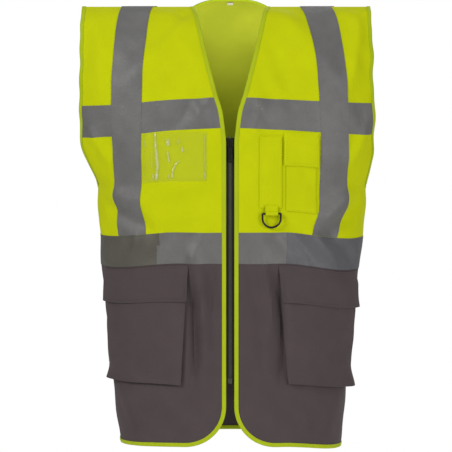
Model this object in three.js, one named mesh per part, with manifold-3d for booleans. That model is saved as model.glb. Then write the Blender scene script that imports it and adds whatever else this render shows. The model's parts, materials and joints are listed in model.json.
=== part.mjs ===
// High visibility vest: a sleeveless safety waistcoat in yellow over grey, with retro-reflective tape, a
// separating front zip, two flapped lower pockets, a flapped phone pocket, a pen pocket with a D-ring, and a
// clear ID window.
//
// Frame, in millimetres: +Z up, -Y to the front, +X to the wearer's left. The origin is on the shoulder line,
// midway between the two shoulder seams, where the wearer's shoulders or a hanger hold the vest up.
//
// The cloth is cut in flat pattern coordinates: g runs round the body from the centre line, positive to +X, and
// t runs up the cloth from the hem. skin() wraps a pattern point round the worn shape, front or back, and every
// sewn piece is a slab between two heights above that skin.
import * as THREE from "three";
import { mergeVertices } from "three/addons/utils/BufferGeometryUtils.js";
import Module from "manifold-3d";

const wasm = await Module();
wasm.setup();

// ---- Overall sizes ----
const vestHeight = 706; // hem to shoulder line
const hemHalfWidth = 179;
const underarmHalfWidth = 217;
const frontDepth = 120; // from the shoulder line's plane to the front, up to the chest
const shoulderSlope = 52; // cloth that the shoulder's slope takes, beyond the height
const armholeDepth = 333; // cloth from the shoulder seam down to the bottom of the armhole
const chestDepth = 258; // and down to the chest, where the front starts to curve back
const shoulderDepth = 198; // and down to where the cloth starts to slope
const roundness = 2.35; // exponent of the cross-section: 2 is an ellipse, more is boxier

// Cloth heights that the rest is measured from.
const shoulder = vestHeight + shoulderSlope;
const underarm = shoulder - armholeDepth;
const chest = shoulder - chestDepth;
const shoulderStart = shoulder - shoulderDepth;

// ---- Cloth and layers ----
const cloth = 1.2;
const layerGap = 0.8;
const tapeThick = 0.8;
const tapeWidth = 50;
const seamGap = 0.4; // half the gap between two pieces that meet at a seam
const seamHeight = 321; // cloth height where the yellow and the grey cloth join, under the waist tape
const shoulderGap = 1.2; // half the gap between front and back at the shoulder seam
const facet = 24; // mean width of a facet round the body

// ---- Edges ----
const frontEdge = 8; // cut edge of each front, from the centre line
const cornerRadius = 66; // rounded lower front corner
const neckHalfWidth = 60;
const neckRise = 11; // the back neck stands above the shoulder line
const neckDepth = 30; // and behind it
const neckStandDepth = 118; // the stand starts this far below the shoulder seam
const bindingReach = 5;
const bindingFold = 1.5;
const bindingWall = 0.8;
const bindingClear = 1.1; // between the binding's legs and the cloth

// ---- Reflective tape ----
const waistTapeBottom = 296;
const chestTapeBottom = chest + 17;
const chestTapeFall = 0.052; // drop of the chest tape for each millimetre away from the centre line

// ---- Zip ----
const zipBottom = 104;
const zipTop = chest - 1;
const toothPitch = 5;
const toothHeight = 1.7;
const toothThick = 3;
const toothReach = 1.2; // how far a tooth passes the centre line
const spineInner = 2;
const spineOuter = 3.2;
const zipMiddle = -3.2; // height of the zip's mid-plane above the skin: behind the cloth
const zipTapeInner = 3.5;
const zipTapeOuter = 17;
const stop = { gap: 0.4, height: 2.6 }; // a top stop, above the slider's rest
const pin = { inner: 1.2, half: 0.8, rise: 0.8 }; // half thickness, and its foot above the zip's bottom
const box = { height: 8, wall: 0.9, foot: 0.6, clearance: 0.35 }; // foot: below the zip's bottom
const toothGap = 0.5; // from the box to the first of the spine
const sliderLength = 14;
const sliderHalfWidth = 5;
const sliderWall = 1.3;
const sliderClearance = 0.4;
const postHeight = 4;
const postHalfWidth = 1;
const slotHalf = 0.8; // the slider's and the box's slot for the zip tape
const bridgeSize = { half: 1, gap: 2, thick: 1, inset: 1.2 }; // the arch that holds the pull
const pullLength = 36;
const pullHalfWidth = 3.2;
const pullThick = 1.2;
const pullBar = 0.7; // half height of the bar under the slider's bridge
const pullHole = 1.6; // radius of the hole near its foot

// ---- Pockets and their flaps, by cloth height and distance from the centre line ----
const lowerPocket = { inner: 70, outer: 226, bottom: 102, mouth: 270, room: 13, mouthRoom: 8 };
const lowerFlap = { inner: 67, outer: 229, bottom: 236, top: 293 };
const phonePocket = { inner: 90, outer: 139.5, bottom: chest - 119, mouth: chest - 8, room: 12, mouthRoom: 7.5 };
const phoneFlap = { inner: 86.5, outer: 142.5, bottom: chest - 45, top: chest + 8.5 };
const penPocket = { inner: 47, outer: 83, bottom: chest - 114, mouth: chest + 2, room: 9, mouthRoom: 7 };
const pocketFoot = 0.5; // gap behind a pocket's walls
const flapRise = 0.6; // gap under a flap's stitched edge, beyond the layers' gap
const gripInset = 5; // strips sit this far above the flap's lower edge
const gripHeight = 16; // hook and loop strips
const gripThick = 0.8;
const gripGap = 0.4;
const flapGap = 0.7;

// ---- ID window, D-ring and its tab ----
const idWindow = { middle: 90, height: 81, width: 106, low: chest - 71, thick: 0.6, standOff: 2.4 };
const ring = { width: 33, height: 24, bar: 3.2, thick: 3 };
const ringTab = { middle: 66, width: 20, wall: 1.3, axisHeight: chest - 123, eye: 2.6, strap: 8 };
const backStitch = 0.4; // the strap's two ends are stitched flat, this far inside its eye
const ringAxisOut = cloth + layerGap + ringTab.eye + ringTab.wall;

// ---- Neck label ----
const label = { width: 10, height: 11, top: 742, thick: 0.6, gap: 1.8 };

// ---- Finishes ----
const finish = (color, roughness, metalness = 0) => ({ color, roughness, metalness });
const yellowCloth = finish(0xc8d400, 0.8);
const greyCloth = finish(0x50474a, 0.85);
const reflective = finish(0x7d7c7b, 0.45, 0.3);
const yellowBinding = finish(0xbfd21a, 0.75);
const blackPlastic = finish(0x22221f, 0.4);
const blackTape = finish(0x2b2b27, 0.9);
const clearFilm = finish(0xdfe6a0, 0.1);
const whiteSatin = finish(0xe6dfd0, 0.6);
const gripFinish = finish(0x3c3a3a, 0.95);
const yellowGrip = finish(0xb8c400, 0.95);

// ---- Smooth curves through a few stations ----

// Monotone cubic through [x, y] stations: it never overshoots them.
function smooth(stations, x) {
  const n = stations.length;
  if (x <= stations[0][0]) return stations[0][1];
  if (x >= stations[n - 1][0]) return stations[n - 1][1];
  const rise = (i) => (stations[i + 1][1] - stations[i][1]) / (stations[i + 1][0] - stations[i][0]);
  const slope = (i) => {
    if (i === 0) return rise(0);
    if (i === n - 1) return rise(n - 2);
    const [before, after] = [rise(i - 1), rise(i)];
    return before * after <= 0 ? 0 : (2 * before * after) / (before + after);
  };
  const i = stations.findIndex((s, k) => k > 0 && x <= s[0]) - 1;
  const span = stations[i + 1][0] - stations[i][0];
  const s = (x - stations[i][0]) / span;
  const h = [(1 + 2 * s) * (1 - s) ** 2, s * (1 - s) ** 2 * span, s * s * (3 - 2 * s), s * s * (s - 1) * span];
  return h[0] * stations[i][1] + h[1] * slope(i) + h[2] * stations[i + 1][1] + h[3] * slope(i + 1);
}

// Worn shape by cloth height: height above the hem, half width, and the depth in front of and behind the
// shoulder line.
const heightStations = [
  [0, 0],
  [shoulderStart, shoulderStart],
  [shoulder - 126, vestHeight - 78],
  [shoulder - 73, vestHeight - 34],
  [shoulder - 32, vestHeight - 9],
  [shoulder, vestHeight],
];
const widthStations = [
  [underarm, underarmHalfWidth],
  [underarm + 55, underarmHalfWidth + 31],
  [shoulderStart, underarmHalfWidth + 50],
  [shoulder - 118, underarmHalfWidth + 54],
  [shoulder, underarmHalfWidth + 51],
];
const frontStations = [
  [chest, frontDepth],
  [shoulderStart, frontDepth - 5],
  [shoulder - 126, frontDepth - 27],
  [shoulder - 73, frontDepth - 56],
  [shoulder - 32, frontDepth - 87],
  [shoulder, 0],
];
const backStations = [
  [0, frontDepth - 6],
  [250, frontDepth - 10],
  [chest + 20, frontDepth + 2],
  [shoulder - 158, frontDepth - 8],
  [shoulder - 78, frontDepth - 42],
  [shoulder - 32, frontDepth - 80],
  [shoulder, 0],
];

const worn = {
  height: (t) => smooth(heightStations, t) - vestHeight,
  halfWidth: (t) =>
    t < underarm
      ? THREE.MathUtils.lerp(hemHalfWidth, underarmHalfWidth, t / underarm)
      : smooth(widthStations, t),
  depth: (side, t) => smooth(side === "front" ? frontStations : backStations, t),
};

// ---- The skin ----

const outlineSteps = 90;
const outlines = new Map();

// Quarter of the cross-section at one cloth height, from the centre line to the side, with the length along it.
function outline(side, t) {
  const key = side + t.toFixed(4);
  if (!outlines.has(key)) {
    const [a, b] = [worn.halfWidth(t), worn.depth(side, t)];
    const points = [];
    let girth = 0;
    for (let i = 0; i <= outlineSteps; i++) {
      const angle = (i / outlineSteps) * (Math.PI / 2);
      const x = a * Math.sin(angle) ** (2 / roundness);
      const y = b * Math.max(0, Math.cos(angle)) ** (2 / roundness);
      if (i) girth += Math.hypot(x - points[i - 1].x, y - points[i - 1].y);
      points.push({ x, y, girth });
    }
    outlines.set(key, points);
  }
  return outlines.get(key);
}

// Distance round the body from the centre line to the side seam.
const sideSeam = (side, t) => outline(side, t)[outlineSteps].girth;

// Distance round the body to the point at a share of the half width.
function girthAtShare(side, t, share) {
  const points = outline(side, t);
  const x = share * worn.halfWidth(t);
  const i = Math.max(1, points.findIndex((p) => p.x >= x - 1e-9));
  const part = (x - points[i - 1].x) / (points[i].x - points[i - 1].x);
  return THREE.MathUtils.lerp(points[i - 1].girth, points[i].girth, part);
}

const other = { front: "back", back: "front" };

// The point of the worn skin at pattern point (g, t). Past the side seam it runs on round the other side.
function skin(side, g, t) {
  const up = THREE.MathUtils.clamp(t, 0, shoulder);
  const seam = sideSeam(side, up);
  if (Math.abs(g) > seam) {
    const beyond = Math.abs(g) - seam;
    return skin(other[side], Math.sign(g) * (sideSeam(other[side], up) - beyond), up);
  }
  const points = outline(side, up);
  const i = Math.max(1, points.findIndex((p) => p.girth >= Math.abs(g) - 1e-9));
  const part = (Math.abs(g) - points[i - 1].girth) / (points[i].girth - points[i - 1].girth || 1);
  const x = THREE.MathUtils.lerp(points[i - 1].x, points[i].x, part) * Math.sign(g || 1);
  let y = THREE.MathUtils.lerp(points[i - 1].y, points[i].y, part);
  let z = worn.height(up);
  if (side === "back" && Math.abs(g) < neckHalfWidth) {
    const share = THREE.MathUtils.smoothstep(up, shoulder - neckStandDepth, shoulder);
    const stand = share * (1 - (Math.abs(g) / neckHalfWidth) ** 3);
    y += neckDepth * stand;
    z += neckRise * stand;
  }
  return new THREE.Vector3(x, side === "front" ? -y : y, z);
}

// The directions at a pattern point: across the body, up the cloth, and out of it.
function frameAt(side, g, t) {
  const step = 2;
  const across = skin(side, g + step, t).sub(skin(side, g - step, t)).normalize();
  const up = skin(side, g, t + step).sub(skin(side, g, t - step)).normalize();
  const out = side === "front" ? across.clone().cross(up) : up.clone().cross(across);
  return { across, up, out: out.normalize() };
}

function above(side, g, t, height) {
  return skin(side, g, t).addScaledVector(frameAt(side, g, t).out, height);
}

// ---- Solids from grids ----

function geometryFrom(points, faces) {
  const volume = faces.reduce((sum, [a, b, c]) => sum + points[a].dot(points[b].clone().cross(points[c])), 0);
  const facing = volume < 0 ? faces.map(([a, b, c]) => [a, c, b]) : faces;
  const geometry = new THREE.BufferGeometry().setFromPoints(points);
  geometry.setIndex(facing.flat());
  geometry.computeVertexNormals();
  return geometry;
}

// A closed slab between an inner and an outer grid of points with the same rows and columns.
function slab(inner, outer) {
  const [rows, columns] = [inner.length, inner[0].length];
  const points = [...inner.flat(), ...outer.flat()];
  const at = (layer, r, c) => layer * rows * columns + r * columns + c;
  const faces = [];
  const span = (a, b) => points[a].distanceTo(points[b]);
  const quad = (a, b, c, d) => {
    if (span(a, c) < span(b, d) - 1e-4) faces.push([a, b, c], [a, c, d]);
    else faces.push([a, b, d], [b, c, d]);
  };
  for (let r = 0; r + 1 < rows; r++)
    for (let c = 0; c + 1 < columns; c++) {
      quad(at(1, r, c), at(1, r, c + 1), at(1, r + 1, c + 1), at(1, r + 1, c));
      quad(at(0, r, c), at(0, r + 1, c), at(0, r + 1, c + 1), at(0, r, c + 1));
    }
  const rim = [];
  for (let c = 0; c < columns; c++) rim.push([0, c]);
  for (let r = 1; r < rows; r++) rim.push([r, columns - 1]);
  for (let c = columns - 2; c >= 0; c--) rim.push([rows - 1, c]);
  for (let r = rows - 2; r > 0; r--) rim.push([r, 0]);
  rim.forEach(([r, c], i) => {
    const [nr, nc] = rim[(i + 1) % rim.length];
    quad(at(0, r, c), at(0, nr, nc), at(1, nr, nc), at(1, r, c));
  });
  return geometryFrom(points, faces);
}

// Pattern points in rows: from left(t) to right(t) at each cloth height, evenly spaced or by spread(share).
function patternRows(heights, left, right, columns, spread = (share) => share) {
  const point = (t, c) => [THREE.MathUtils.lerp(left(t), right(t), spread(c / columns)), t];
  return heights.map((t) => Array.from({ length: columns + 1 }, (_, c) => point(t, c)));
}

// Shares that crowd towards 1, where the body's side curves most.
const towardsSide = (share) => 1 - (1 - share) ** 1.5;
const towardsBothSides = (share) => 0.5 + 0.5 * Math.sign(share - 0.5) * towardsSide(Math.abs(2 * share - 1));

// A sewn piece: pattern rows wrapped round the body, between two heights above the skin, each a number or f(g, t).
function sewn(side, rows, low, high) {
  const lift = (height) => rows.map((row) => row.map(([g, t]) => above(side, g, t, level(height, g, t))));
  return slab(lift(low), lift(high));
}

const level = (height, g, t) => (typeof height === "function" ? height(g, t) : height);

const steps = (from, to, step) => {
  const n = Math.max(1, Math.ceil(Math.abs(to - from) / step));
  return Array.from({ length: n + 1 }, (_, i) => from + ((to - from) * i) / n);
};

// A profile swept along a line of pattern points. Its first number is measured into the cloth, its second above
// the skin.
function swept(side, line, inward, profile) {
  const sections = line.map(([g, t], i) => {
    const [g0, t0] = line[Math.max(0, i - 1)];
    const [g1, t1] = line[Math.min(line.length - 1, i + 1)];
    const along = new THREE.Vector2(g1 - g0, t1 - t0).normalize();
    const into = new THREE.Vector2(-along.y, along.x).multiplyScalar(inward);
    return profile.map(([e, height]) => above(side, g + e * into.x, t + e * into.y, height));
  });
  const points = sections.flat();
  const n = profile.length;
  const faces = [];
  for (let s = 0; s + 1 < sections.length; s++)
    for (let k = 0; k < n; k++) {
      const [a, b] = [s * n + k, s * n + ((k + 1) % n)];
      faces.push([a, b, b + n], [a, b + n, a + n]);
    }
  const cap = THREE.ShapeUtils.triangulateShape(profile.map(([e, h]) => new THREE.Vector2(e, h)), []);
  const last = (sections.length - 1) * n;
  cap.forEach(([a, b, c]) => faces.push([a, c, b], [last + a, last + b, last + c]));
  return geometryFrom(points, orient(faces, points.length));
}

// Turns faces round so that neighbours agree.
function orient(faces, pointCount) {
  const turned = faces.map(() => false);
  const seen = faces.map(() => false);
  const edges = new Map();
  faces.forEach((face, f) =>
    face.forEach((a, k) => {
      const b = face[(k + 1) % 3];
      const key = Math.min(a, b) * pointCount + Math.max(a, b);
      edges.set(key, [...(edges.get(key) ?? []), [f, a < b]]);
    }),
  );
  const todo = [0];
  seen[0] = true;
  while (todo.length) {
    const f = todo.pop();
    faces[f].forEach((a, k) => {
      const b = faces[f][(k + 1) % 3];
      const pair = edges.get(Math.min(a, b) * pointCount + Math.max(a, b));
      const [next, nextForward] = pair[0][0] === f ? pair[1] : pair[0];
      if (seen[next]) return;
      seen[next] = true;
      turned[next] = (a < b) !== turned[f] === nextForward;
      todo.push(next);
    });
  }
  return faces.map(([a, b, c], f) => (turned[f] ? [a, c, b] : [a, b, c]));
}

// ---- Joining and cutting ----

function solidOf(geometry) {
  const bare = geometry.clone();
  bare.deleteAttribute("normal");
  bare.deleteAttribute("uv");
  const merged = mergeVertices(bare, 1e-4);
  return new wasm.Manifold(
    new wasm.Mesh({
      numProp: 3,
      vertProperties: new Float32Array(merged.attributes.position.array),
      triVerts: new Uint32Array(merged.index.array),
    }),
  );
}

function geometryOf(solid) {
  const mesh = solid.getMesh();
  const geometry = new THREE.BufferGeometry();
  geometry.setAttribute("position", new THREE.BufferAttribute(new Float32Array(mesh.vertProperties), 3));
  geometry.setIndex(new THREE.BufferAttribute(new Uint32Array(mesh.triVerts), 1));
  geometry.computeVertexNormals();
  return geometry;
}

const joined = (...geometries) => geometryOf(geometries.map(solidOf).reduce((a, b) => a.add(b)));
const cut = (geometry, ...tools) =>
  geometryOf(tools.map(solidOf).reduce((a, b) => a.subtract(b), solidOf(geometry)));

// A block between two corners.
function block([x0, y0, z0], [x1, y1, z1]) {
  return new THREE.BoxGeometry(x1 - x0, y1 - y0, z1 - z0).translate((x0 + x1) / 2, (y0 + y1) / 2, (z0 + z1) / 2);
}

// A flat outline in the XZ plane, given thickness along -Y from y = front to y = back.
function plate(shape, back, front) {
  const geometry = new THREE.ExtrudeGeometry(shape, { depth: back - front, bevelEnabled: false, curveSegments: 6 });
  return geometry.rotateX(Math.PI / 2).translate(0, back, 0);
}

// ---- The group ----

const vest = new THREE.Group();
vest.name = "high_visibility_vest";

function add(name, geometry, look) {
  const mesh = new THREE.Mesh(geometry, new THREE.MeshStandardMaterial(look));
  mesh.name = name;
  vest.add(mesh);
  return mesh;
}

// Stands a mesh on the skin: its X runs across the body, its Z up the cloth and its -Y out of it.
function place(mesh, side, g, t, height) {
  const { across, out } = frameAt(side, g, t);
  const up = out.clone().cross(across);
  mesh.position.copy(above(side, g, t, height));
  mesh.quaternion.setFromRotationMatrix(new THREE.Matrix4().makeBasis(across, out.clone().negate(), up.negate()));
  return mesh;
}

// ---- Cut lines of the panels ----

// Share of the half width where the armhole's cut edge runs.
const armholeStations = [
  [underarm, 1],
  [underarm + 4, 0.993],
  [underarm + 12, 0.983],
  [underarm + 30, 0.971],
  [underarm + 60, 0.957],
  [shoulder - 218, 0.915],
  [shoulder - 158, 0.885],
  [shoulder - 78, 0.878],
  [shoulder, 0.88],
];
const armhole = (side, t) => girthAtShare(side, t, smooth(armholeStations, t));
const outerEdge = (side, t) => (t <= underarm ? sideSeam(side, t) - seamGap : armhole(side, t) - seamGap);

// The front's cut edge: a rounded lower corner, straight up the zip, then the V neck.
const neckStations = [
  [zipTop - 3, frontEdge],
  [chest + 43, frontEdge + 6],
  [chest + 73, frontEdge + 15],
  [shoulder - 101, frontEdge + 35],
  [shoulder, neckHalfWidth],
];
function frontCut(t) {
  if (t >= cornerRadius) return smooth(neckStations, t);
  const rise = cornerRadius - t;
  return frontEdge + cornerRadius - Math.sqrt(Math.max(0, cornerRadius ** 2 - rise ** 2));
}

const lowerHeights = [bindingFold, 4, 10, 20, 34, 50, cornerRadius, ...steps(105, seamHeight - seamGap, 54)];
const upperHeights = [
  ...steps(seamHeight + seamGap, underarm, 52),
  ...[1, 4, 12, 30].map((rise) => underarm + rise),
  ...steps(underarm + 53, shoulder - 70, 30),
  ...steps(shoulder - 52, shoulder - shoulderGap, 17),
];

const frontColumns = Math.ceil((sideSeam("front", underarm) - frontEdge) / facet);
const backColumns = 2 * Math.ceil(sideSeam("back", underarm) / facet);

// A front's pattern rows for hand -1, the wearer's right, or +1, the wearer's left.
function frontRows(hand, heights) {
  return patternRows(heights, (t) => hand * frontCut(t), (t) => hand * outerEdge("front", t), frontColumns, towardsSide);
}

function backRows(heights) {
  return patternRows(heights, (t) => -outerEdge("back", t), (t) => outerEdge("back", t), backColumns, towardsBothSides);
}

// ---- Bindings ----

// A folded tape that wraps the cut edge: a web outside the edge and a leg on each face of the cloth.
const bindingProfile = (() => {
  const [face, lining] = [cloth + bindingClear, -bindingClear];
  return [
    [-bindingFold, lining - bindingWall],
    [bindingReach, lining - bindingWall],
    [bindingReach, lining],
    [bindingWall - bindingFold, lining],
    [bindingWall - bindingFold, face],
    [bindingReach, face],
    [bindingReach, face + bindingWall],
    [-bindingFold, face + bindingWall],
  ];
})();

const firstColumn = (rows) => rows.map((row) => row[0]);
const lastColumn = (rows) => rows.map((row) => row[row.length - 1]);

// ---- Reflective tape ----

const tapeLow = cloth + layerGap;
const tapeHigh = tapeLow + tapeThick;
const braceLow = tapeHigh + layerGap;
const braceHigh = braceLow + tapeThick;
const edgeClear = bindingReach + 0.8; // tape stops short of the binding
const seamClear = 1.5; // and of the side seam
const armholeClear = 2; // and, beyond that, of the armhole's binding, which runs at a slant

// Inner edge of each brace, from the waist tape over the shoulder: it clears the pockets beside it.
const waistTapeTop = waistTapeBottom + tapeWidth;
const braceStations = {
  "-1": [
    [waistTapeTop, 136],
    [waistTapeTop + 54, 146],
    [shoulderStart, 143],
    [shoulder - 78, 135],
    [shoulder, 126],
  ],
  1: [
    [waistTapeTop, 132],
    [phonePocket.bottom + 19, 146],
    [chest, 147],
    [shoulder - 158, 141],
    [shoulder - 58, 125],
    [shoulder, 113],
  ],
};
const backBraceStations = [[waistTapeTop, 87], [shoulderStart, 101], [shoulder, 119]];

const waistTapeLow = () => waistTapeBottom;
const chestTapeLow = (g) => chestTapeBottom - chestTapeFall * Math.abs(g);

// A tape that runs round the body, with its lower edge at low(g), from g = from(rise) to g = to(rise).
function levelTapeSolid(side, low, from, to, spread) {
  const rises = steps(0, tapeWidth, tapeWidth / 3);
  const longest = Math.max(...rises.map((rise) => Math.abs(to(rise) - from(rise))));
  const columns = Math.ceil(longest / facet);
  const rows = rises.map((rise) =>
    Array.from({ length: columns + 1 }, (_, c) => {
      const g = THREE.MathUtils.lerp(from(rise), to(rise), spread(c / columns));
      return [g, low(g) + rise];
    }),
  );
  return sewn(side, rows, tapeLow, tapeHigh);
}

// Where the chest tape stops short of the armhole binding, a rise above its lower edge.
function chestTapeEnd(side, rise) {
  let end = armhole(side, chestTapeBottom);
  for (let pass = 0; pass < 4; pass++) end = armhole(side, chestTapeLow(end) + rise) - edgeClear - armholeClear;
  return end;
}

function braceSolid(side, hand, stations) {
  const heights = upperHeights.filter((t) => t > waistTapeTop + 4);
  const edge = (share) => (t) => hand * (smooth(stations, t) + share * tapeWidth);
  const rows = patternRows([waistTapeTop + layerGap, ...heights], edge(0), edge(1), 3);
  return sewn(side, rows, braceLow, braceHigh);
}

// ---- Pockets ----

// Height of a pocket's front wall above the skin: deepest at the bottom.
function pocketFront({ bottom, mouth, room, mouthRoom }) {
  return (g, t) => cloth + THREE.MathUtils.mapLinear(t, bottom, mouth, room, mouthRoom);
}

// A multiple of four, so that the grip strips over the middle half have the same facets as the pocket under them.
const pocketColumns = (pocket) => 4 * Math.ceil((pocket.outer - pocket.inner) / facet / 4);

// A patch pocket: a front wall with side and bottom walls down to the panel, open at the mouth.
function pocketSolid(hand, pocket) {
  const front = pocketFront(pocket);
  const heights = steps(pocket.bottom, pocket.mouth, 60);
  const span = pocket.outer - pocket.inner;
  const columns = pocketColumns(pocket);
  const outer = patternRows(heights, () => hand * pocket.inner, () => hand * pocket.outer, columns);
  const inset = (g) => {
    const fromInner = Math.abs(g) - pocket.inner;
    return hand * (pocket.inner + cloth + (fromInner * (span - 2 * cloth)) / span);
  };
  const hollow = outer.map((row, r) =>
    row.map(([g, t]) => [inset(g), t + (r === 0 ? cloth : 0) + (r === outer.length - 1 ? 2 : 0)]),
  );
  const foot = cloth + pocketFoot;
  return cut(
    sewn("front", outer, foot, (g, t) => front(g, t) + cloth),
    sewn("front", hollow, foot - 3, front),
  );
}

// Height of a flap's underside: on the cloth at its stitched top edge, then over the pocket and the grip strips.
function flapUnder(flap, pocket) {
  const front = pocketFront(pocket);
  const overPocket = cloth + 2 * gripThick + 3 * gripGap + flapGap;
  return (g, t) => {
    const share = THREE.MathUtils.smoothstep(flap.top - t, 0, flap.top - pocket.mouth);
    return THREE.MathUtils.lerp(cloth + layerGap + flapRise, front(g, Math.min(t, pocket.mouth)) + overPocket, share);
  };
}

function flapSolid(hand, flap, pocket) {
  const under = flapUnder(flap, pocket);
  const columns = Math.ceil((flap.outer - flap.inner) / facet);
  const heights = steps(flap.bottom, flap.top, 12);
  const rows = patternRows(heights, () => hand * flap.inner, () => hand * flap.outer, columns);
  return sewn("front", rows, under, (g, t) => under(g, t) + cloth);
}

// The loop strip on a pocket's front wall, or the hook strip under its flap.
function gripSolid(hand, pocket, flap, onFlap) {
  const front = pocketFront(pocket);
  const middle = (pocket.inner + pocket.outer) / 2;
  const half = (pocket.outer - pocket.inner) / 4;
  const low = flap.bottom + gripInset;
  const base = cloth + gripGap + (onFlap ? gripThick + gripGap : 0);
  const columns = pocketColumns(pocket) / 2;
  const edge = (offset) => () => hand * (middle + offset);
  const rows = patternRows([low, low + gripHeight], edge(-half), edge(half), columns);
  return sewn("front", rows, (g, t) => front(g, t) + base, (g, t) => front(g, t) + base + gripThick);
}

// ---- Zip ----

const zipY = -frontDepth - zipMiddle; // the zip's mid-plane
const onZip = (t) => worn.height(t);
const toothRowBottom = zipBottom + box.height + toothGap;
const toothRowTop = zipTop - postHeight - 3 * toothGap;
const toothTaper = 0.2;

// A row of teeth on its spine, with the teeth of hand -1 and +1 half a pitch apart.
function toothRow(hand) {
  const shape = new THREE.Shape();
  const [low, high] = [onZip(toothRowBottom), onZip(toothRowTop)];
  shape.moveTo(hand * spineOuter, low);
  shape.lineTo(hand * spineInner, low);
  const first = low + toothGap + (hand > 0 ? toothPitch / 2 : 0);
  for (let z = first; z + toothHeight < high; z += toothPitch) {
    shape.lineTo(hand * spineInner, z);
    shape.lineTo(-hand * toothReach, z + toothTaper);
    shape.lineTo(-hand * toothReach, z + toothHeight - toothTaper);
    shape.lineTo(hand * spineInner, z + toothHeight);
  }
  shape.lineTo(hand * spineInner, high);
  shape.lineTo(hand * spineOuter, high);
  return plate(shape, zipY + toothThick / 2, zipY - toothThick / 2);
}

function zipTape(hand) {
  const [near, far] = [hand * zipTapeInner, hand * zipTapeOuter].sort((a, b) => a - b);
  const rows = patternRows(steps(zipBottom - 1, zipTop + 2, 140), () => near, () => far, 1);
  return sewn("front", rows, zipMiddle - tapeThick / 2, zipMiddle + tapeThick / 2);
}

function topStop(hand) {
  const [x0, x1] = [hand * spineInner, hand * spineOuter].sort((a, b) => a - b);
  const low = onZip(zipTop) + stop.gap;
  return block([x0, zipY - toothThick / 2, low], [x1, zipY + toothThick / 2, low + stop.height]);
}

// The pin on the wearer's right half, which the box on the left half takes in.
function pinSolid() {
  const [low, high] = [onZip(zipBottom) + pin.rise, onZip(toothRowBottom) - seamGap];
  return block([-spineOuter, zipY - pin.half, low], [-pin.inner, zipY + pin.half, high]);
}

function boxSolid() {
  const [low, high] = [onZip(zipBottom), onZip(zipBottom + box.height)];
  const half = toothThick / 2 + box.wall;
  const depth = pin.half + box.clearance;
  const outside = -spineOuter - box.wall;
  const body = block([outside, zipY - half, low - box.foot], [zipTapeInner - seamGap, zipY + half, high]);
  const socketFoot = low + pin.rise - box.clearance;
  const socket = block(
    [-spineOuter - box.clearance, zipY - depth, socketFoot],
    [box.clearance - pin.inner, zipY + depth, high + 1],
  );
  const tapeSlot = block([outside - 1, zipY - slotHalf, low - 1], [-spineOuter, zipY + slotHalf, high + 1]);
  return cut(body, socket, tapeSlot);
}

// The slider: two blades with flanges round the teeth, joined by a post above them, with a bridge for the pull.
const sliderTop = onZip(zipTop);
const sliderFoot = sliderTop - sliderLength;
const channelHalf = toothThick / 2 + sliderClearance;
const channelWidth = spineOuter + sliderClearance;
const bladeFront = zipY - channelHalf - sliderWall;
const bridge = { ...bridgeSize, low: sliderFoot + 1, high: sliderTop - 1.5, front: bladeFront - bridgeSize.gap };
const pullAxis = { y: bladeFront - bridge.gap / 2, z: bridge.high - bridge.inset - 1 };

function sliderSolid() {
  const w = sliderHalfWidth;
  const throatFoot = sliderTop - postHeight;
  const [front, back] = [zipY - channelHalf, zipY + channelHalf];
  const body = block([-w, bladeFront, sliderFoot], [w, back + sliderWall, sliderTop]);
  const channel = block([-channelWidth, front, sliderFoot - 1], [channelWidth, back, throatFoot]);
  const throats = [-1, 1].map((hand) => {
    const [x0, x1] = [hand * postHalfWidth, hand * channelWidth].sort((a, b) => a - b);
    return block([x0, front, throatFoot - 1], [x1, back, sliderTop + 1]);
  });
  const tapeSlots = [-1, 1].map((hand) => {
    const [x0, x1] = [hand * spineOuter, hand * (w + 1)].sort((a, b) => a - b);
    return block([x0, zipY - slotHalf, sliderFoot - 1], [x1, zipY + slotHalf, sliderTop + 1]);
  });
  const arch = cut(
    block([-bridge.half, bridge.front - bridge.thick, bridge.low], [bridge.half, bladeFront + 0.3, bridge.high]),
    block(
      [-2 * bridge.half, bridge.front, bridge.low + bridge.inset],
      [2 * bridge.half, bladeFront, bridge.high - bridge.inset],
    ),
  );
  return joined(cut(body, channel, ...throats, ...tapeSlots), arch);
}

// The pull: a plate with a window, so that its top bar lies under the slider's bridge.
function pullSolid() {
  const [w, foot] = [pullHalfWidth, pullAxis.z - pullLength];
  const shape = new THREE.Shape();
  shape.moveTo(-w, pullAxis.z + pullBar);
  shape.lineTo(-w, foot + w);
  shape.absarc(0, foot + w, w, Math.PI, 2 * Math.PI, false);
  shape.lineTo(w, pullAxis.z + pullBar);
  shape.closePath();
  const window = new THREE.Path();
  const windowHalf = bridge.half + pullBar;
  const windowFoot = bridge.low - 1.5;
  window.moveTo(-windowHalf, pullAxis.z - pullBar);
  window.lineTo(windowHalf, pullAxis.z - pullBar);
  window.lineTo(windowHalf, windowFoot);
  window.lineTo(-windowHalf, windowFoot);
  window.closePath();
  const hole = new THREE.Path();
  hole.absarc(0, foot + w + 1, pullHole, 0, 2 * Math.PI, false);
  shape.holes.push(window, hole);
  return plate(shape, pullAxis.y + pullThick / 2, pullAxis.y - pullThick / 2);
}

// ---- D-ring and its tab, drawn about the ring's bar ----

function ringOutline(width, height, top) {
  const radius = width / 2;
  const straight = height - radius;
  const shape = new THREE.Shape();
  shape.moveTo(-radius, top);
  shape.lineTo(-radius, top - straight);
  shape.absarc(0, top - straight, radius, Math.PI, 2 * Math.PI, false);
  shape.lineTo(radius, top);
  shape.closePath();
  return shape;
}

function ringSolid() {
  const { width, height, bar, thick } = ring;
  const shape = ringOutline(width, height, bar / 2);
  shape.holes.push(ringOutline(width - 2 * bar, height - 2 * bar, -bar / 2));
  const geometry = new THREE.ExtrudeGeometry(shape, { depth: thick, bevelEnabled: false, curveSegments: 14 });
  return geometry.rotateX(Math.PI / 2).translate(0, thick / 2, 0);
}

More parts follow.
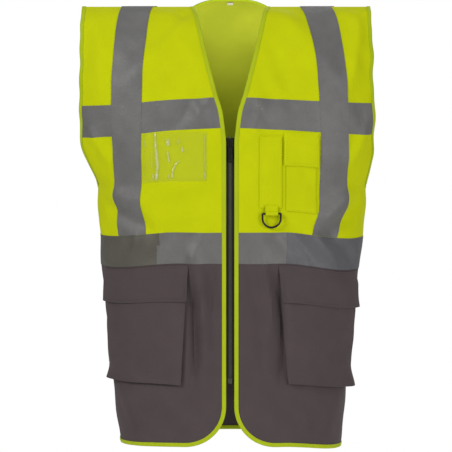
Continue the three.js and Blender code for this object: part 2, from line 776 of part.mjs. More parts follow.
// A strap folded round the ring's bar, with its two ends stitched together below the pen pocket.
function tabSolid() {
  const { width, wall, eye, strap } = ringTab;
  const radius = eye + wall;
  const strapInner = radius - 2 * wall - backStitch;
  const shape = new THREE.Shape();
  shape.absarc(0, 0, radius, Math.PI / 2 - 0.3, 2 * Math.PI + 0.5, false);
  shape.lineTo(radius - backStitch, strap);
  shape.lineTo(strapInner, strap);
  shape.closePath();
  const eyeHole = new THREE.Path();
  eyeHole.absarc(0, 0, eye, 0, 2 * Math.PI, true);
  shape.holes.push(eyeHole);
  const geometry = new THREE.ExtrudeGeometry(shape, { depth: width, bevelEnabled: false, curveSegments: 10 });
  return geometry.rotateY(Math.PI / 2).rotateX(Math.PI / 2).translate(-width / 2, 0, 0);
}

// ---- Assembly ----

function addBack() {
  const upper = backRows(upperHeights);
  const lower = backRows([bindingFold, ...steps(60, seamHeight - seamGap, 66)]);
  add("back_upper_panel", sewn("back", upper, 0, cloth), yellowCloth);
  add("back_lower_panel", sewn("back", lower, 0, cloth), greyCloth);
  const waistEnd = (rise) => sideSeam("back", waistTapeBottom + rise) - seamClear;
  const waist = levelTapeSolid("back", waistTapeLow, waistEnd, (rise) => -waistEnd(rise), towardsBothSides);
  add("back_waist_tape", waist, reflective);
  const chestEnd = (rise) => chestTapeEnd("back", rise);
  const chestTape = levelTapeSolid("back", chestTapeLow, (rise) => -chestEnd(rise), chestEnd, towardsBothSides);
  add("back_chest_tape", chestTape, reflective);
  for (const [hand, name] of [[-1, "right"], [1, "left"]]) {
    add(`back_brace_tape_${name}`, braceSolid("back", hand, backBraceStations), reflective);
    const edge = (hand > 0 ? lastColumn(upper) : firstColumn(upper)).filter(([, t]) => t >= underarm - 1);
    add(`back_armhole_binding_${name}`, swept("back", edge, hand, bindingProfile), yellowBinding);
  }
  const hem = lower[0];
  add("back_hem_binding", swept("back", hem, 1, bindingProfile), yellowBinding);
  const neckEdge = upper[upper.length - 1].filter(([g]) => Math.abs(g) < neckHalfWidth);
  add("back_neck_binding", swept("back", neckEdge, -1, bindingProfile), yellowBinding);
  const labelEdge = (share) => () => share * label.width;
  const labelRows = patternRows([label.top - label.height, label.top], labelEdge(-0.5), labelEdge(0.5), 1);
  add("neck_label", sewn("back", labelRows, -label.gap - label.thick, -label.gap), whiteSatin);
}

function addFront(hand, name) {
  const upper = frontRows(hand, upperHeights);
  const lower = frontRows(hand, lowerHeights);
  add(`front_upper_panel_${name}`, sewn("front", upper, 0, cloth), yellowCloth);
  add(`front_lower_panel_${name}`, sewn("front", lower, 0, cloth), greyCloth);

  const hem = [...lower[0]].reverse();
  const edge = [...hem, ...firstColumn(lower).slice(1), ...firstColumn(upper)];
  add(`front_binding_${name}`, swept("front", edge, -hand, bindingProfile), yellowBinding);
  const armEdge = lastColumn(upper).filter(([, t]) => t >= underarm - 1);
  add(`front_armhole_binding_${name}`, swept("front", armEdge, hand, bindingProfile), yellowBinding);

  const waistStart = () => hand * (frontEdge + edgeClear);
  const waistEnd = (rise) => hand * (sideSeam("front", waistTapeBottom + rise) - seamClear);
  const waist = levelTapeSolid("front", waistTapeLow, waistStart, waistEnd, towardsSide);
  add(`waist_tape_${name}`, waist, reflective);
  const chestStart = (rise) => hand * (frontCut(chestTapeBottom + rise) + edgeClear);
  const chestEnd = (rise) => hand * chestTapeEnd("front", rise);
  const chestTape = levelTapeSolid("front", chestTapeLow, chestStart, chestEnd, towardsSide);
  add(`chest_tape_${name}`, chestTape, reflective);
  add(`front_brace_tape_${name}`, braceSolid("front", hand, braceStations[hand]), reflective);

  add(`zip_tape_${name}`, zipTape(hand), blackTape);
  add(`zip_teeth_${name}`, toothRow(hand), blackPlastic);
  add(`zip_top_stop_${name}`, topStop(hand), blackPlastic);

  add(`lower_pocket_${name}`, pocketSolid(hand, lowerPocket), greyCloth);
  add(`lower_flap_${name}`, flapSolid(hand, lowerFlap, lowerPocket), greyCloth);
  add(`lower_pocket_loop_strip_${name}`, gripSolid(hand, lowerPocket, lowerFlap, false), gripFinish);
  add(`lower_flap_hook_strip_${name}`, gripSolid(hand, lowerPocket, lowerFlap, true), gripFinish);
}

function addChestLeft() {
  add("phone_pocket", pocketSolid(1, phonePocket), yellowCloth);
  add("phone_flap", flapSolid(1, phoneFlap, phonePocket), yellowCloth);
  add("phone_pocket_loop_strip", gripSolid(1, phonePocket, phoneFlap, false), yellowGrip);
  add("phone_flap_hook_strip", gripSolid(1, phonePocket, phoneFlap, true), yellowGrip);
  add("pen_pocket", pocketSolid(1, penPocket), yellowCloth);
  place(add("ring_tab", tabSolid(), yellowCloth), "front", ringTab.middle, ringTab.axisHeight, ringAxisOut);
  place(add("d_ring", ringSolid(), blackPlastic), "front", ringTab.middle, ringTab.axisHeight, ringAxisOut);
}

function addZipHardware() {
  add("zip_pin", pinSolid(), blackPlastic);
  add("zip_box", boxSolid(), blackPlastic);
  add("zip_slider", sliderSolid(), blackPlastic);
  add("zip_pull", pullSolid(), blackPlastic);
}

function addIdWindow() {
  const { width, height, thick, middle, low, standOff } = idWindow;
  const film = new THREE.BoxGeometry(width, thick, height);
  place(add("id_window", film, clearFilm), "front", -middle, low + height / 2, cloth + standOff);
}

addBack();
addFront(-1, "right");
addFront(1, "left");
addChestLeft();
addZipHardware();
addIdWindow();

export default vest;
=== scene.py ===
# High visibility vest: fluorescent yellow over grey, reflective tape, separating zip and pockets.
# Cloth is cut in pattern coordinates, in millimetres. g runs round the body from the centre line, plus to
# the wearer's left. t runs up the cloth from the hem. drape() adds the folds, and every layer follows it.
import json
import math

import bmesh
import bpy
import numpy as np
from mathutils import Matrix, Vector


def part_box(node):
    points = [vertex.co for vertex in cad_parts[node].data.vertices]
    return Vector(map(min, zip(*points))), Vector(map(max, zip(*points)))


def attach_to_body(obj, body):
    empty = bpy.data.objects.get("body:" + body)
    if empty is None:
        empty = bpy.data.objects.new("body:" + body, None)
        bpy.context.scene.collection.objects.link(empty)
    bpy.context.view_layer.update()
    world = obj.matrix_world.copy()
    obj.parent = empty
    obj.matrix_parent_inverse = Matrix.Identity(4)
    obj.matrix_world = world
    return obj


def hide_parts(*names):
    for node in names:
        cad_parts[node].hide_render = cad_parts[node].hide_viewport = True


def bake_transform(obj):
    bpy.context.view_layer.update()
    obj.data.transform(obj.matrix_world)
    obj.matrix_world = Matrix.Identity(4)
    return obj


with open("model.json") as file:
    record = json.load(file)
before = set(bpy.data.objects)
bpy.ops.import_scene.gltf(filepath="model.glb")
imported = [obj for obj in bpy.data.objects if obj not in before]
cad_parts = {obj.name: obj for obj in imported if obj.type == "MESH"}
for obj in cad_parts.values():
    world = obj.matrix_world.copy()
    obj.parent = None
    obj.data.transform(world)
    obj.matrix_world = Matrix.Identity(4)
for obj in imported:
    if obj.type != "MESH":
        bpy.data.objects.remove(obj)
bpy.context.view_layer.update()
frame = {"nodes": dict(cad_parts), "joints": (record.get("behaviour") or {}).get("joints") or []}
mm = 0.001
sideName = {-1: "right", 1: "left"}


def foot(node):
    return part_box(node)[0] / mm


# the worn shape, as the frame was cut, in mm
worn = {
    # below the shoulder line; the cloth is cut 1.5 short of it
    "hem": 1.5 - foot("front_lower_panel_left").z,
    "hemHalf": 179.0,
    "underarmHalf": 217.0,
    "front": 120.0,  # depth in front of the shoulder line
    "underarm": 425.0,  # cloth height of the armhole's foot
    "shoulder": 758.0,  # cloth height of the shoulder seam
    "seam": 321.0,  # cloth height of the yellow and grey join
    "roundness": 2.35,
    "neckHalf": 60.0,
    "neckRise": 11.0,
    "neckDepth": 30.0,
    "frontEdge": 8.0,
    "corner": 66.0,
}


def smooth(stations, x):
    # monotone cubic through the stations, so that it never overshoots them
    px, py = (np.array([s[i] for s in stations], float) for i in (0, 1))
    x = np.clip(np.asarray(x, float), px[0], px[-1])
    rise = np.diff(py) / np.diff(px)
    slope = np.concatenate([rise[:1], np.zeros(len(px) - 2), rise[-1:]])
    for i in range(1, len(px) - 1):
        before, after = rise[i - 1], rise[i]
        slope[i] = 0 if before * after <= 0 else 2 * before * after / (before + after)
    i = np.clip(np.searchsorted(px, x, side="right") - 1, 0, len(px) - 2)
    span = px[i + 1] - px[i]
    s = (x - px[i]) / span
    return ((1 + 2 * s) * (1 - s) ** 2 * py[i] + s * (1 - s) ** 2 * span * slope[i]
            + s * s * (3 - 2 * s) * py[i + 1] + s * s * (s - 1) * span * slope[i + 1])


heightAt = [(0, 0), (560, 560), (632, worn["hem"] - 78), (685, worn["hem"] - 34), (726, worn["hem"] - 9),
            (758, worn["hem"])]
halfAt = [(425, 217), (480, 248), (560, 267), (640, 271), (758, 268)]
frontAt = [(500, 120), (560, 115), (632, 93), (685, 64), (726, 33), (758, 0)]
backAt = [(0, 114), (250, 110), (520, 122), (600, 112), (680, 78), (726, 40), (758, 0)]
armholeAt = [(425, 1), (429, 0.993), (437, 0.983), (455, 0.971), (485, 0.957), (540, 0.915), (600, 0.885),
             (680, 0.878), (758, 0.88)]
# as hung, each side stands out or falls in a little from the even shape the frame was cut to
hangLeft = [(0, 6), (40, 7), (168, 9), (248, 7), (312, 9), (392, 8), (425, 3), (456, -3), (528, -9),
            (584, -8),
            (690, -9), (758, -9)]
hangRight = [(0, 4), (168, 6), (312, 4), (392, 2), (425, -3), (456, -3), (528, 2), (690, 4), (758, 4)]
# and its sides sag lower than its middle
sagLeft = [(0, 12), (100, 14), (300, 16), (425, 10), (540, 1), (758, 0)]
sagRight = [(0, 4), (100, 9), (300, 11), (425, 9), (540, 6), (640, 0), (758, 0)]
# distance from the middle at which each one sets in, and at which it is full
hangReach = (165, 235)
sagReach = (80, 205)
neckAt = [(496, 8), (543, 14), (573, 23), (657, 43), (758, 60)]

tGrid = np.arange(0.0, worn["shoulder"] + 0.1, 2.0)
gGrid = np.arange(0.0, 361.0, 1.0)
skinTable = {}
seamTable = {}
shareTable = {}


def smoothStep(x, low, high):
    s = np.clip((np.asarray(x, float) - low) / (high - low), 0, 1)
    return s * s * (3 - 2 * s)


def buildSkin():
    angle = np.linspace(0, math.pi / 2, 400)
    for side, depthAt in (("front", frontAt), ("back", backAt)):
        rowsX, rowsY, seams, shares = [], [], [], []
        for t in tGrid:
            if t < worn["underarm"]:
                half = worn["hemHalf"] + (worn["underarmHalf"] - worn["hemHalf"]) * t / worn["underarm"]
            else:
                half = float(smooth(halfAt, t))
            depth = float(smooth(depthAt, t))
            x = half * np.sin(angle) ** (2 / worn["roundness"])
            y = depth * np.clip(np.cos(angle), 0, 1) ** (2 / worn["roundness"])
            girth = np.concatenate([[0], np.cumsum(np.hypot(np.diff(x), np.diff(y)))])
            rowsX.append((girth, x))
            rowsY.append((girth, y))
            seams.append(girth[-1])
            cut = float(smooth(armholeAt, t)) * half
            shares.append(float(np.interp(cut, x, girth)))
        skinTable[side] = (rowsX, rowsY)
        seamTable[side] = np.array(seams)
        shareTable[side] = np.array(shares)
    # past its side seam each side runs on round the other one
    flat = {}
    for side, other, sign in (("front", "back", -1), ("back", "front", 1)):
        gridX, gridY = [], []
        for i in range(len(tGrid)):
            seam = seamTable[side][i]
            (gx, x), (_, y) = skinTable[side][0][i], skinTable[side][1][i]
            (ox, xo), (_, yo) = skinTable[other][0][i], skinTable[other][1][i]
            beyond = np.clip(seamTable[other][i] - (gGrid - seam), 0, None)
            past = gGrid > seam
            gridX.append(np.where(past, np.interp(beyond, ox, xo), np.interp(gGrid, gx, x)))
            gridY.append(sign * np.where(past, -np.interp(beyond, ox, yo), np.interp(gGrid, gx, y)))
        flat[side] = (np.array(gridX), np.array(gridY))
    skinTable.update(flat)


buildSkin()


def sideSeam(side, t):
    return np.interp(t, tGrid, seamTable[side])


def armhole(side, t):
    return np.interp(t, tGrid, shareTable[side])


def skin(side, g, t):
    g, t = np.broadcast_arrays(np.asarray(g, float), np.clip(np.asarray(t, float), 0, worn["shoulder"]))
    row = np.clip(t / 2, 0, len(tGrid) - 1.001)
    col = np.clip(np.abs(g), 0, len(gGrid) - 1.001)
    r, c = row.astype(int), col.astype(int)
    fr, fc = row - r, col - c

    def sample(table):
        low = table[r, c] * (1 - fc) + table[r, c + 1] * fc
        high = table[r + 1, c] * (1 - fc) + table[r + 1, c + 1] * fc
        return low * (1 - fr) + high * fr

    x = sample(skinTable[side][0]) * np.where(g < 0, -1, 1)
    left, right = smoothStep(x, *hangReach), smoothStep(-x, *hangReach)
    x = x + smooth(hangLeft, t) * left - smooth(hangRight, t) * right
    y = sample(skinTable[side][1])
    z = smooth(heightAt, t) - worn["hem"]
    left, right = smoothStep(x, *sagReach), smoothStep(-x, *sagReach)
    z = z - smooth(sagLeft, t) * left - smooth(sagRight, t) * right
    if side == "back":
        near = np.clip(1 - (np.abs(g) / worn["neckHalf"]) ** 3, 0, 1) * smoothStep(t, 640, worn["shoulder"])
        y = y + worn["neckDepth"] * near
        z = z + worn["neckRise"] * near
    return np.stack([x, y, z], -1)


def outward(side, g, t):
    step = 4.0
    across = skin(side, np.asarray(g) + step, t) - skin(side, np.asarray(g) - step, t)
    up = skin(side, g, np.asarray(t) + step) - skin(side, g, np.asarray(t) - step)
    out = np.cross(across, up) if side == "front" else np.cross(up, across)
    return out / np.linalg.norm(out, axis=-1, keepdims=True)


# each fold: side, from (g, t), to (g, t), half width, and height before foldScale; minus g is to the right
foldScale = 2.9
folds = [
    ("front", (-56, 300), (-40, 150), 11, 3.6),
    ("front", (-30, 292), (-24, 215), 8, -2.0),
    ("front", (-62, 240), (-60, 110), 7, -3.4),
    ("front", (-120, 95), (-60, 30), 20, 2.6),
    ("front", (-185, 92), (-150, 20), 22, 2.2),
    ("front", (52, 300), (66, 190), 9, 3.4),
    ("front", (30, 300), (58, 120), 12, 2.8),
    ("front", (76, 250), (84, 110), 7, -3.0),
    ("front", (70, 100), (130, 24), 18, 2.4),
    ("front", (190, 96), (150, 20), 24, 2.0),
    ("front", (-205, 415), (-120, 385), 16, 2.4),
    ("front", (-215, 395), (-130, 352), 12, -1.8),
    ("front", (205, 420), (150, 372), 16, 2.6),
    ("front", (222, 400), (160, 350), 12, -2.0),
    ("front", (-150, 410), (-40, 425), 16, 1.6),
    ("front", (-120, 365), (-30, 380), 14, 1.2),
    ("front", (-80, 700), (-170, 590), 20, 2.2),
    ("front", (-70, 735), (-120, 660), 13, -1.6),
    ("front", (76, 716), (160, 610), 18, 2.2),
    ("front", (66, 660), (96, 575), 14, -1.6),
    ("front", (215, 705), (200, 590), 14, 2.0),
    ("front", (-215, 700), (-212, 590), 14, 1.8),
    ("front", (50, 560), (36, 500), 9, 1.3),
    ("front", (-62, 562), (-36, 516), 9, 1.2),
    ("front", (-26, 575), (-60, 522), 9, 1.2),
    ("front", (-44, 590), (-90, 520), 9, -1.1),
    ("front", (30, 580), (62, 520), 9, 1.2),
    ("front", (48, 596), (96, 524), 9, -1.1),
    ("front", (64, 348), (104, 300), 9, 1.3),
    ("front", (96, 350), (144, 298), 9, -1.3),
    ("front", (126, 352), (182, 300), 9, 1.4),
    ("front", (166, 354), (218, 306), 9, -1.3),
    ("front", (-40, 346), (-66, 300), 9, 1.2),
    ("front", (-100, 350), (-130, 302), 9, -1.2),
    ("front", (-150, 352), (-170, 300), 9, 1.3),
    ("front", (-240, 520), (-206, 470), 11, 1.8),
    ("front", (240, 520), (204, 466), 11, 1.8),
    ("back", (-150, 700), (-90, 560), 24, 3.0),
    ("back", (150, 700), (96, 560), 24, 2.8),
    ("back", (-200, 430), (-90, 380), 18, 2.6),
    ("back", (205, 436), (80, 372), 18, 2.6),
    ("back", (-20, 520), (10, 370), 26, 2.4),
    ("back", (-90, 285), (-70, 30), 24, 3.4),
    ("back", (40, 280), (60, 26), 22, 3.2),
    ("back", (160, 280), (150, 40), 22, 3.0),
    ("back", (-180, 270), (-170, 40), 20, 2.6),
]


# slow waves over the whole cloth: length across, length up, phase, height
waves = [(173, 260, 0.4, 0.9), (94, 140, 2.1, 0.55), (61, 47, 4.0, 0.3), (37, 83, 1.2, 0.2)]


def ridge(g, t, start, end):
    # share of the way from start to end, distance to the side of that line, and its length
    (g0, t0), (g1, t1) = start, end
    along = np.array([g1 - g0, t1 - t0], float)
    length = np.hypot(*along)
    s = ((g - g0) * along[0] + (t - t0) * along[1]) / length ** 2
    across = ((g - g0) * along[1] - (t - t0) * along[0]) / length
    return s, across, length


def drape(side, g, t):
    # height of the cloth above the worn shape, in mm
    g, t = np.broadcast_arrays(np.asarray(g, float), np.asarray(t, float))
    total = np.zeros(g.shape)
    for foldSide, start, end, width, height in folds:
        if foldSide != side:
            continue
        s, across, length = ridge(g, t, start, end)
        bend = 0.12 * length * (s - 0.5) ** 2 - 0.03 * length
        total += (foldScale * height * np.exp(-((across - bend) / width) ** 2)
                  * smoothStep(s, -0.25, 0.2) * smoothStep(-s, -1.25, -0.8))
    turn = 1.0 if side == "front" else -1.0
    for lengthG, lengthT, phase, height in waves:
        total += height * np.sin(2 * math.pi * (g * turn / lengthG + t / lengthT) + phase)
    seam = sideSeam(side, np.clip(t, 0, worn["shoulder"]))
    still = smoothStep(seam - np.abs(g), 0, 26) * smoothStep(worn["shoulder"] - t, 2, 34)
    still = still * (smoothStep(np.abs(g), 9, 34) if side == "front" else 1)
    total = total * still
    # the side seam waves a little, the same on both sides of it, and the armhole's edge flutters
    below = smoothStep(worn["underarm"] - t, 10, 60) * smoothStep(t, -20, 30)
    hand = np.sign(g)
    wave = 1.3 * np.sin(t / 31 + hand) + 0.9 * np.sin(t / 13.5 + 2 * hand)
    total = total + wave * below * smoothStep(30 - (seam - np.abs(g)), 0, 26)
    cut = armhole(side, np.clip(t, 0, worn["shoulder"]))
    arm = smoothStep(t, worn["underarm"] + 15, worn["underarm"] + 70) * smoothStep(worn["shoulder"] - t,
                                                                                   15, 70)
    flutter = 1.7 * np.sin(t / 17 + 1.3 * hand
                           + (0 if side == "front" else 2)) + 1.0 * np.sin(t / 8.3 + hand)
    return total + flutter * arm * smoothStep(34 - (cut - np.abs(g)), 0, 30)


def at(side, g, t, height):
    # a point on the draped cloth, a height above it, in metres
    g, t = np.asarray(g, float), np.asarray(t, float)
    lift = drape(side, g, t) + height
    return (skin(side, g, t) + outward(side, g, t) * np.asarray(lift)[..., None]) * mm


pieces = {}
otherFace = [0, 0, 5.0]  # keeps the pattern on a cloth's two faces apart


def makeMesh(name, points, faces, finish, place=None, sharp=38):
    mesh = bpy.data.meshes.new(name)
    mesh.from_pydata([tuple(p) for p in points], [], faces)
    mesh.validate()
    if place is not None:
        where = mesh.attributes.new("clothPlace", "FLOAT_VECTOR", "POINT")
        where.data.foreach_set("vector", np.ascontiguousarray(place, np.float32).ravel())
    mesh.polygons.foreach_set("use_smooth", [True] * len(mesh.polygons))
    mesh.set_sharp_from_angle(angle=math.radians(sharp))
    mesh.materials.append(finish)
    piece = bpy.data.objects.new(name, mesh)
    bpy.context.scene.collection.objects.link(piece)
    pieces[name] = piece
    return piece


def slabFaces(rows, columns, flip):
    # faces of a closed slab between an inner and an outer grid
    n = rows * columns
    faces = []
    for r in range(rows - 1):
        for c in range(columns - 1):
            a, e = r * columns + c, (r + 1) * columns + c
            b, d = a + 1, e + 1
            faces.append((n + a, n + b, n + d, n + e))
            faces.append((a, e, d, b))
    rim = [(0, c) for c in range(columns)] + [(r, columns - 1) for r in range(1, rows)]
    rim += [(rows - 1, c) for c in range(columns - 2, -1, -1)] + [(r, 0) for r in range(rows - 2, 0, -1)]
    rim = [r * columns + c for r, c in rim]
    for i, a in enumerate(rim):
        b = rim[(i + 1) % len(rim)]
        faces.append((a, b, n + b, n + a))
    return [f[::-1] for f in faces] if flip else faces


def clothSlab(name, side, g, t, low, high, finish, place=None):
    # a closed piece of cloth over the grid (g, t), from low to high above the draped cloth
    inner, outer = at(side, g, t, low), at(side, g, t, high)
    points = np.concatenate([inner.reshape(-1, 3), outer.reshape(-1, 3)])
    rows, columns = g.shape
    across, up = outer[0, 1] - outer[0, 0], outer[1, 0] - outer[0, 0]
    flip = np.dot(np.cross(across, up), outward(side, g[0, 0], t[0, 0])) < 0
    if place is None:
        place = np.stack([g, t, np.zeros(g.shape)], -1)
    place = np.concatenate([place.reshape(-1, 3), place.reshape(-1, 3) + otherFace])
    return makeMesh(name, points, slabFaces(rows, columns, flip), finish, place)


def patternGrid(heights, left, right, step):
    # rows of pattern points from left(t) to right(t)
    heights = np.asarray(heights, float)
    a, b = left(heights), right(heights)
    columns = max(2, int(math.ceil(np.max(np.abs(b - a)) / step)))
    share = np.linspace(0, 1, columns + 1)
    g = a[:, None] + (b - a)[:, None] * share[None, :]
    return g, np.repeat(heights[:, None], columns + 1, 1)


def steps(low, high, step):
    return np.linspace(low, high, max(2, int(math.ceil(abs(high - low) / step)) + 1))


def always(value):
    return lambda t: np.full(np.shape(t), float(value))


def sweepClosed(sections):
    # a tube through rings of points, capped at both ends
    count, ring = len(sections), len(sections[0])
    faces = []
    for s in range(count - 1):
        for k in range(ring):
            a, b = s * ring + k, s * ring + (k + 1) % ring
            faces.append((a, b, b + ring, a + ring))
    faces.append(tuple(range(ring - 1, -1, -1)))
    faces.append(tuple((count - 1) * ring + k for k in range(ring)))
    return np.concatenate(sections), faces


def fixNormals(piece):
    mesh = bmesh.new()
    mesh.from_mesh(piece.data)
    bmesh.ops.recalc_face_normals(mesh, faces=mesh.faces)
    mesh.to_mesh(piece.data)
    mesh.free()
    return piece


def lengthAlong(line):
    return np.concatenate([[0], np.cumsum(np.hypot(*np.diff(line, axis=0).T))])


def intoCloth(line, inward):
    # the direction into the cloth at each point of its cut line
    dg, dt = np.gradient(line[:, 0]), np.gradient(line[:, 1])
    norm = np.hypot(dg, dt)
    return np.stack([-dt / norm, dg / norm], -1) * inward


def alongLine(side, line, inward, profile):
    # sections of a profile (into the cloth, above it) along a line of pattern points
    into = intoCloth(line, inward)
    profile = np.asarray(profile, float)
    e, h = profile[:, 0], profile[:, 1]
    pg = line[:, :1] + e[None, :] * into[:, :1]
    pt = line[:, 1:] + e[None, :] * into[:, 1:]
    points = at(side, pg, pt, np.repeat(h[None, :], len(line), 0))
    roundTheFold = np.cumsum(np.ones(len(e)))[None, :] * 1.2
    place = np.stack([np.repeat(lengthAlong(line)[:, None], len(e), 1),
                      np.repeat(roundTheFold, len(line), 0),
                      np.zeros((len(line), len(e)))], -1)
    return points, place


def resample(line, step):
    line = np.asarray(line, float)
    length = lengthAlong(line)
    s = steps(0, length[-1], step)
    return np.stack([np.interp(s, length, line[:, 0]), np.interp(s, length, line[:, 1])], -1)


def linear(code):
    # sRGB hex to linear
    parts = [int(code[i:i + 2], 16) / 255 for i in (1, 3, 5)]
    return [c / 12.92 if c <= 0.04045 else ((c + 0.055) / 1.055) ** 2.4 for c in parts] + [1.0]


def addNode(tree, kind, settings=None, links=None):
    # adds a node with its settings and links; a link's source is a socket
    made = tree.nodes.new("ShaderNode" + kind)
    for key, value in (settings or {}).items():
        if isinstance(key, int) or key in made.inputs:
            made.inputs[key].default_value = value
        else:
            setattr(made, key, value)
    for key, source in (links or {}).items():
        tree.links.new(source, made.inputs[key])
    return made


def newMaterial(name, settings):
    made = bpy.data.materials.new(name)
    made.use_nodes = True
    shader = made.node_tree.nodes["Principled BSDF"]
    for key, value in settings.items():
        shader.inputs[key].default_value = value
    return made, made.node_tree, shader


def tone(tree, factor, look, dark="dark", light="light"):
    # a colour between a look's two hex tones
    mix = addNode(tree, "Mix", {"data_type": "RGBA"}, {"Factor": factor})
    mix.inputs[6].default_value = linear(look[dark])
    mix.inputs[7].default_value = linear(look[light])
    return [o for o in mix.outputs if o.type == "RGBA"][0]


def noise(tree, vector, scale, detail, roughness=0.5, distortion=0.0):
    settings = {"Scale": scale, "Detail": detail, "Roughness": roughness, "Distortion": distortion}
    return addNode(tree, "TexNoise", settings, {"Vector": vector}).outputs["Fac"]


def threadRows(tree, vector, direction, scale, detailScale):
    settings = {"wave_type": "BANDS", "bands_direction": direction, "Scale": scale, "Distortion": 0.6,
                "Detail": 1.0, "Detail Scale": detailScale}
    return addNode(tree, "TexWave", settings, {"Vector": vector}).outputs["Fac"]


def addScaled(tree, value, share, more, clamp=False):
    # value * share + more
    settings = {"operation": "MULTIPLY_ADD", 1: share, "use_clamp": clamp}
    return addNode(tree, "Math", settings, {0: value, 2: more}).outputs[0]


def between(tree, value, settings):
    return addNode(tree, "MapRange", settings, {"Value": value}).outputs["Result"]


def clothPlace(tree):
    # where each point lies on the flat cloth, in mm
    return addNode(tree, "Attribute", {"attribute_name": "clothPlace"}).outputs["Vector"]


def addBump(tree, shader, height, strength, distance):
    bump = addNode(tree, "Bump", {"Strength": strength, "Distance": distance}, {"Height": height})
    tree.links.new(bump.outputs["Normal"], shader.inputs["Normal"])


waveBand = 0.314  # a wave texture of scale 1 has a band this wide


def clothMaterial(look):
    # woven or knitted cloth: dull and soft, with rows of thread both ways, slubs, and a slow drift in shade
    made, tree, shader = newMaterial(look["name"], {
        "Roughness": look["roughness"], "Sheen Weight": look["sheen"], "Sheen Roughness": 0.45,
        "Specular IOR Level": look.get("specular", 0.3), "IOR": 1.5,
                                                    "Sheen Tint": linear(look["sheenTint"])})
    place = clothPlace(tree)
    turn = {"Rotation": (0, 0, math.radians(look["twill"]))}
    turned = addNode(tree, "Mapping", turn, {"Vector": place}).outputs["Vector"]
    thread = 1 / look["pitch"]
    warp = threadRows(tree, turned, "X", thread * waveBand, 1.5)
    weft = threadRows(tree, turned, "Y", thread * waveBand * look["weftRatio"], 1.0)
    weave = addNode(tree, "Math", {"operation": "MULTIPLY"}, {0: warp, 1: weft}).outputs[0]
    slub = noise(tree, place, 0.55, 3.0, 0.6)
    drift = noise(tree, place, 0.018, 3.0, 0.55)
    slubShade = addNode(tree, "Math", {"operation": "MULTIPLY", 1: 0.3}, {0: slub}).outputs[0]
    threadShade = addScaled(tree, weave, look.get("weave", 0.25), slubShade)
    shade = addScaled(tree, drift, 0.6, threadShade, clamp=True)
    tree.links.new(tone(tree, shade, look), shader.inputs["Base Color"])
    addBump(tree, shader, addScaled(tree, slub, 0.5, weave), look["bump"], 0.0004)
    return made


def tapeMaterial(look):
    # glass beads on a silvered ground: an even soft grey, a little brighter where it faces the light
    made, tree, shader = newMaterial(look["name"], {
        "Roughness": 0.5, "Metallic": look["metal"], "Specular IOR Level": 0.4})
    place = clothPlace(tree)
    beads = {"Scale": 1.1, "Randomness": 1.0}
    bead = addNode(tree, "TexVoronoi", beads, {"Vector": place}).outputs["Distance"]
    cloud = noise(tree, place, 0.03, 4.0, 0.6)
    crease = noise(tree, place, 0.1, 5.0, 0.6, 1.2)
    beaded = addScaled(tree, bead, 0.3, cloud)
    shade = addNode(tree, "Math", {"operation": "SUBTRACT", 1: 0.1, "use_clamp": True},
                    {0: beaded}).outputs[0]
    tree.links.new(tone(tree, shade, look), shader.inputs["Base Color"])
    addBump(tree, shader, addScaled(tree, bead, 0.15, crease), 0.5, 0.0016)
    return made


def plasticMaterial(look):
    # moulded or painted: fine grain, and roughness that wanders with wear
    made, tree, shader = newMaterial(look["name"], {"Metallic": look.get("metal", 0.0), "IOR": 1.48})
    place = addNode(tree, "TexCoord").outputs["Object"]
    grain = noise(tree, place, 1400.0, 3.0)
    wear = noise(tree, place, 260.0, 4.0)
    tree.links.new(tone(tree, wear, look), shader.inputs["Base Color"])
    rough = between(tree, wear, {"To Min": look["rough"] - 0.07, "To Max": look["rough"] + 0.1})
    tree.links.new(rough, shader.inputs["Roughness"])
    addBump(tree, shader, grain, 0.15, 0.0001)
    return made


def filmMaterial(look):
    # clear film: nearly see-through and glossy, with painted glare: white, more opaque streaks along its
    # creases stand in for highlights
    made, tree, shader = newMaterial(look["name"], {"Roughness": 0.07, "IOR": 1.53})
    # the crease attribute holds the painted glare: where the white highlight streaks are painted
    crease = addNode(tree, "Attribute", {"attribute_name": "crease"}).outputs["Fac"]
    speck = noise(tree, clothPlace(tree), 0.16, 4.0, 0.6)
    broken = between(tree, speck, {"From Min": 0.3, "From Max": 0.62})
    white = addNode(tree, "Math", {"operation": "MULTIPLY", "use_clamp": True},
                    {0: crease, 1: broken}).outputs[0]
    tree.links.new(tone(tree, white, look, "film", "white"), shader.inputs["Base Color"])
    alpha = between(tree, white, {"To Min": look["clear"], "To Max": look["milky"]})
    tree.links.new(alpha, shader.inputs["Alpha"])
    addBump(tree, shader, speck, 0.5, 0.001)
    return made


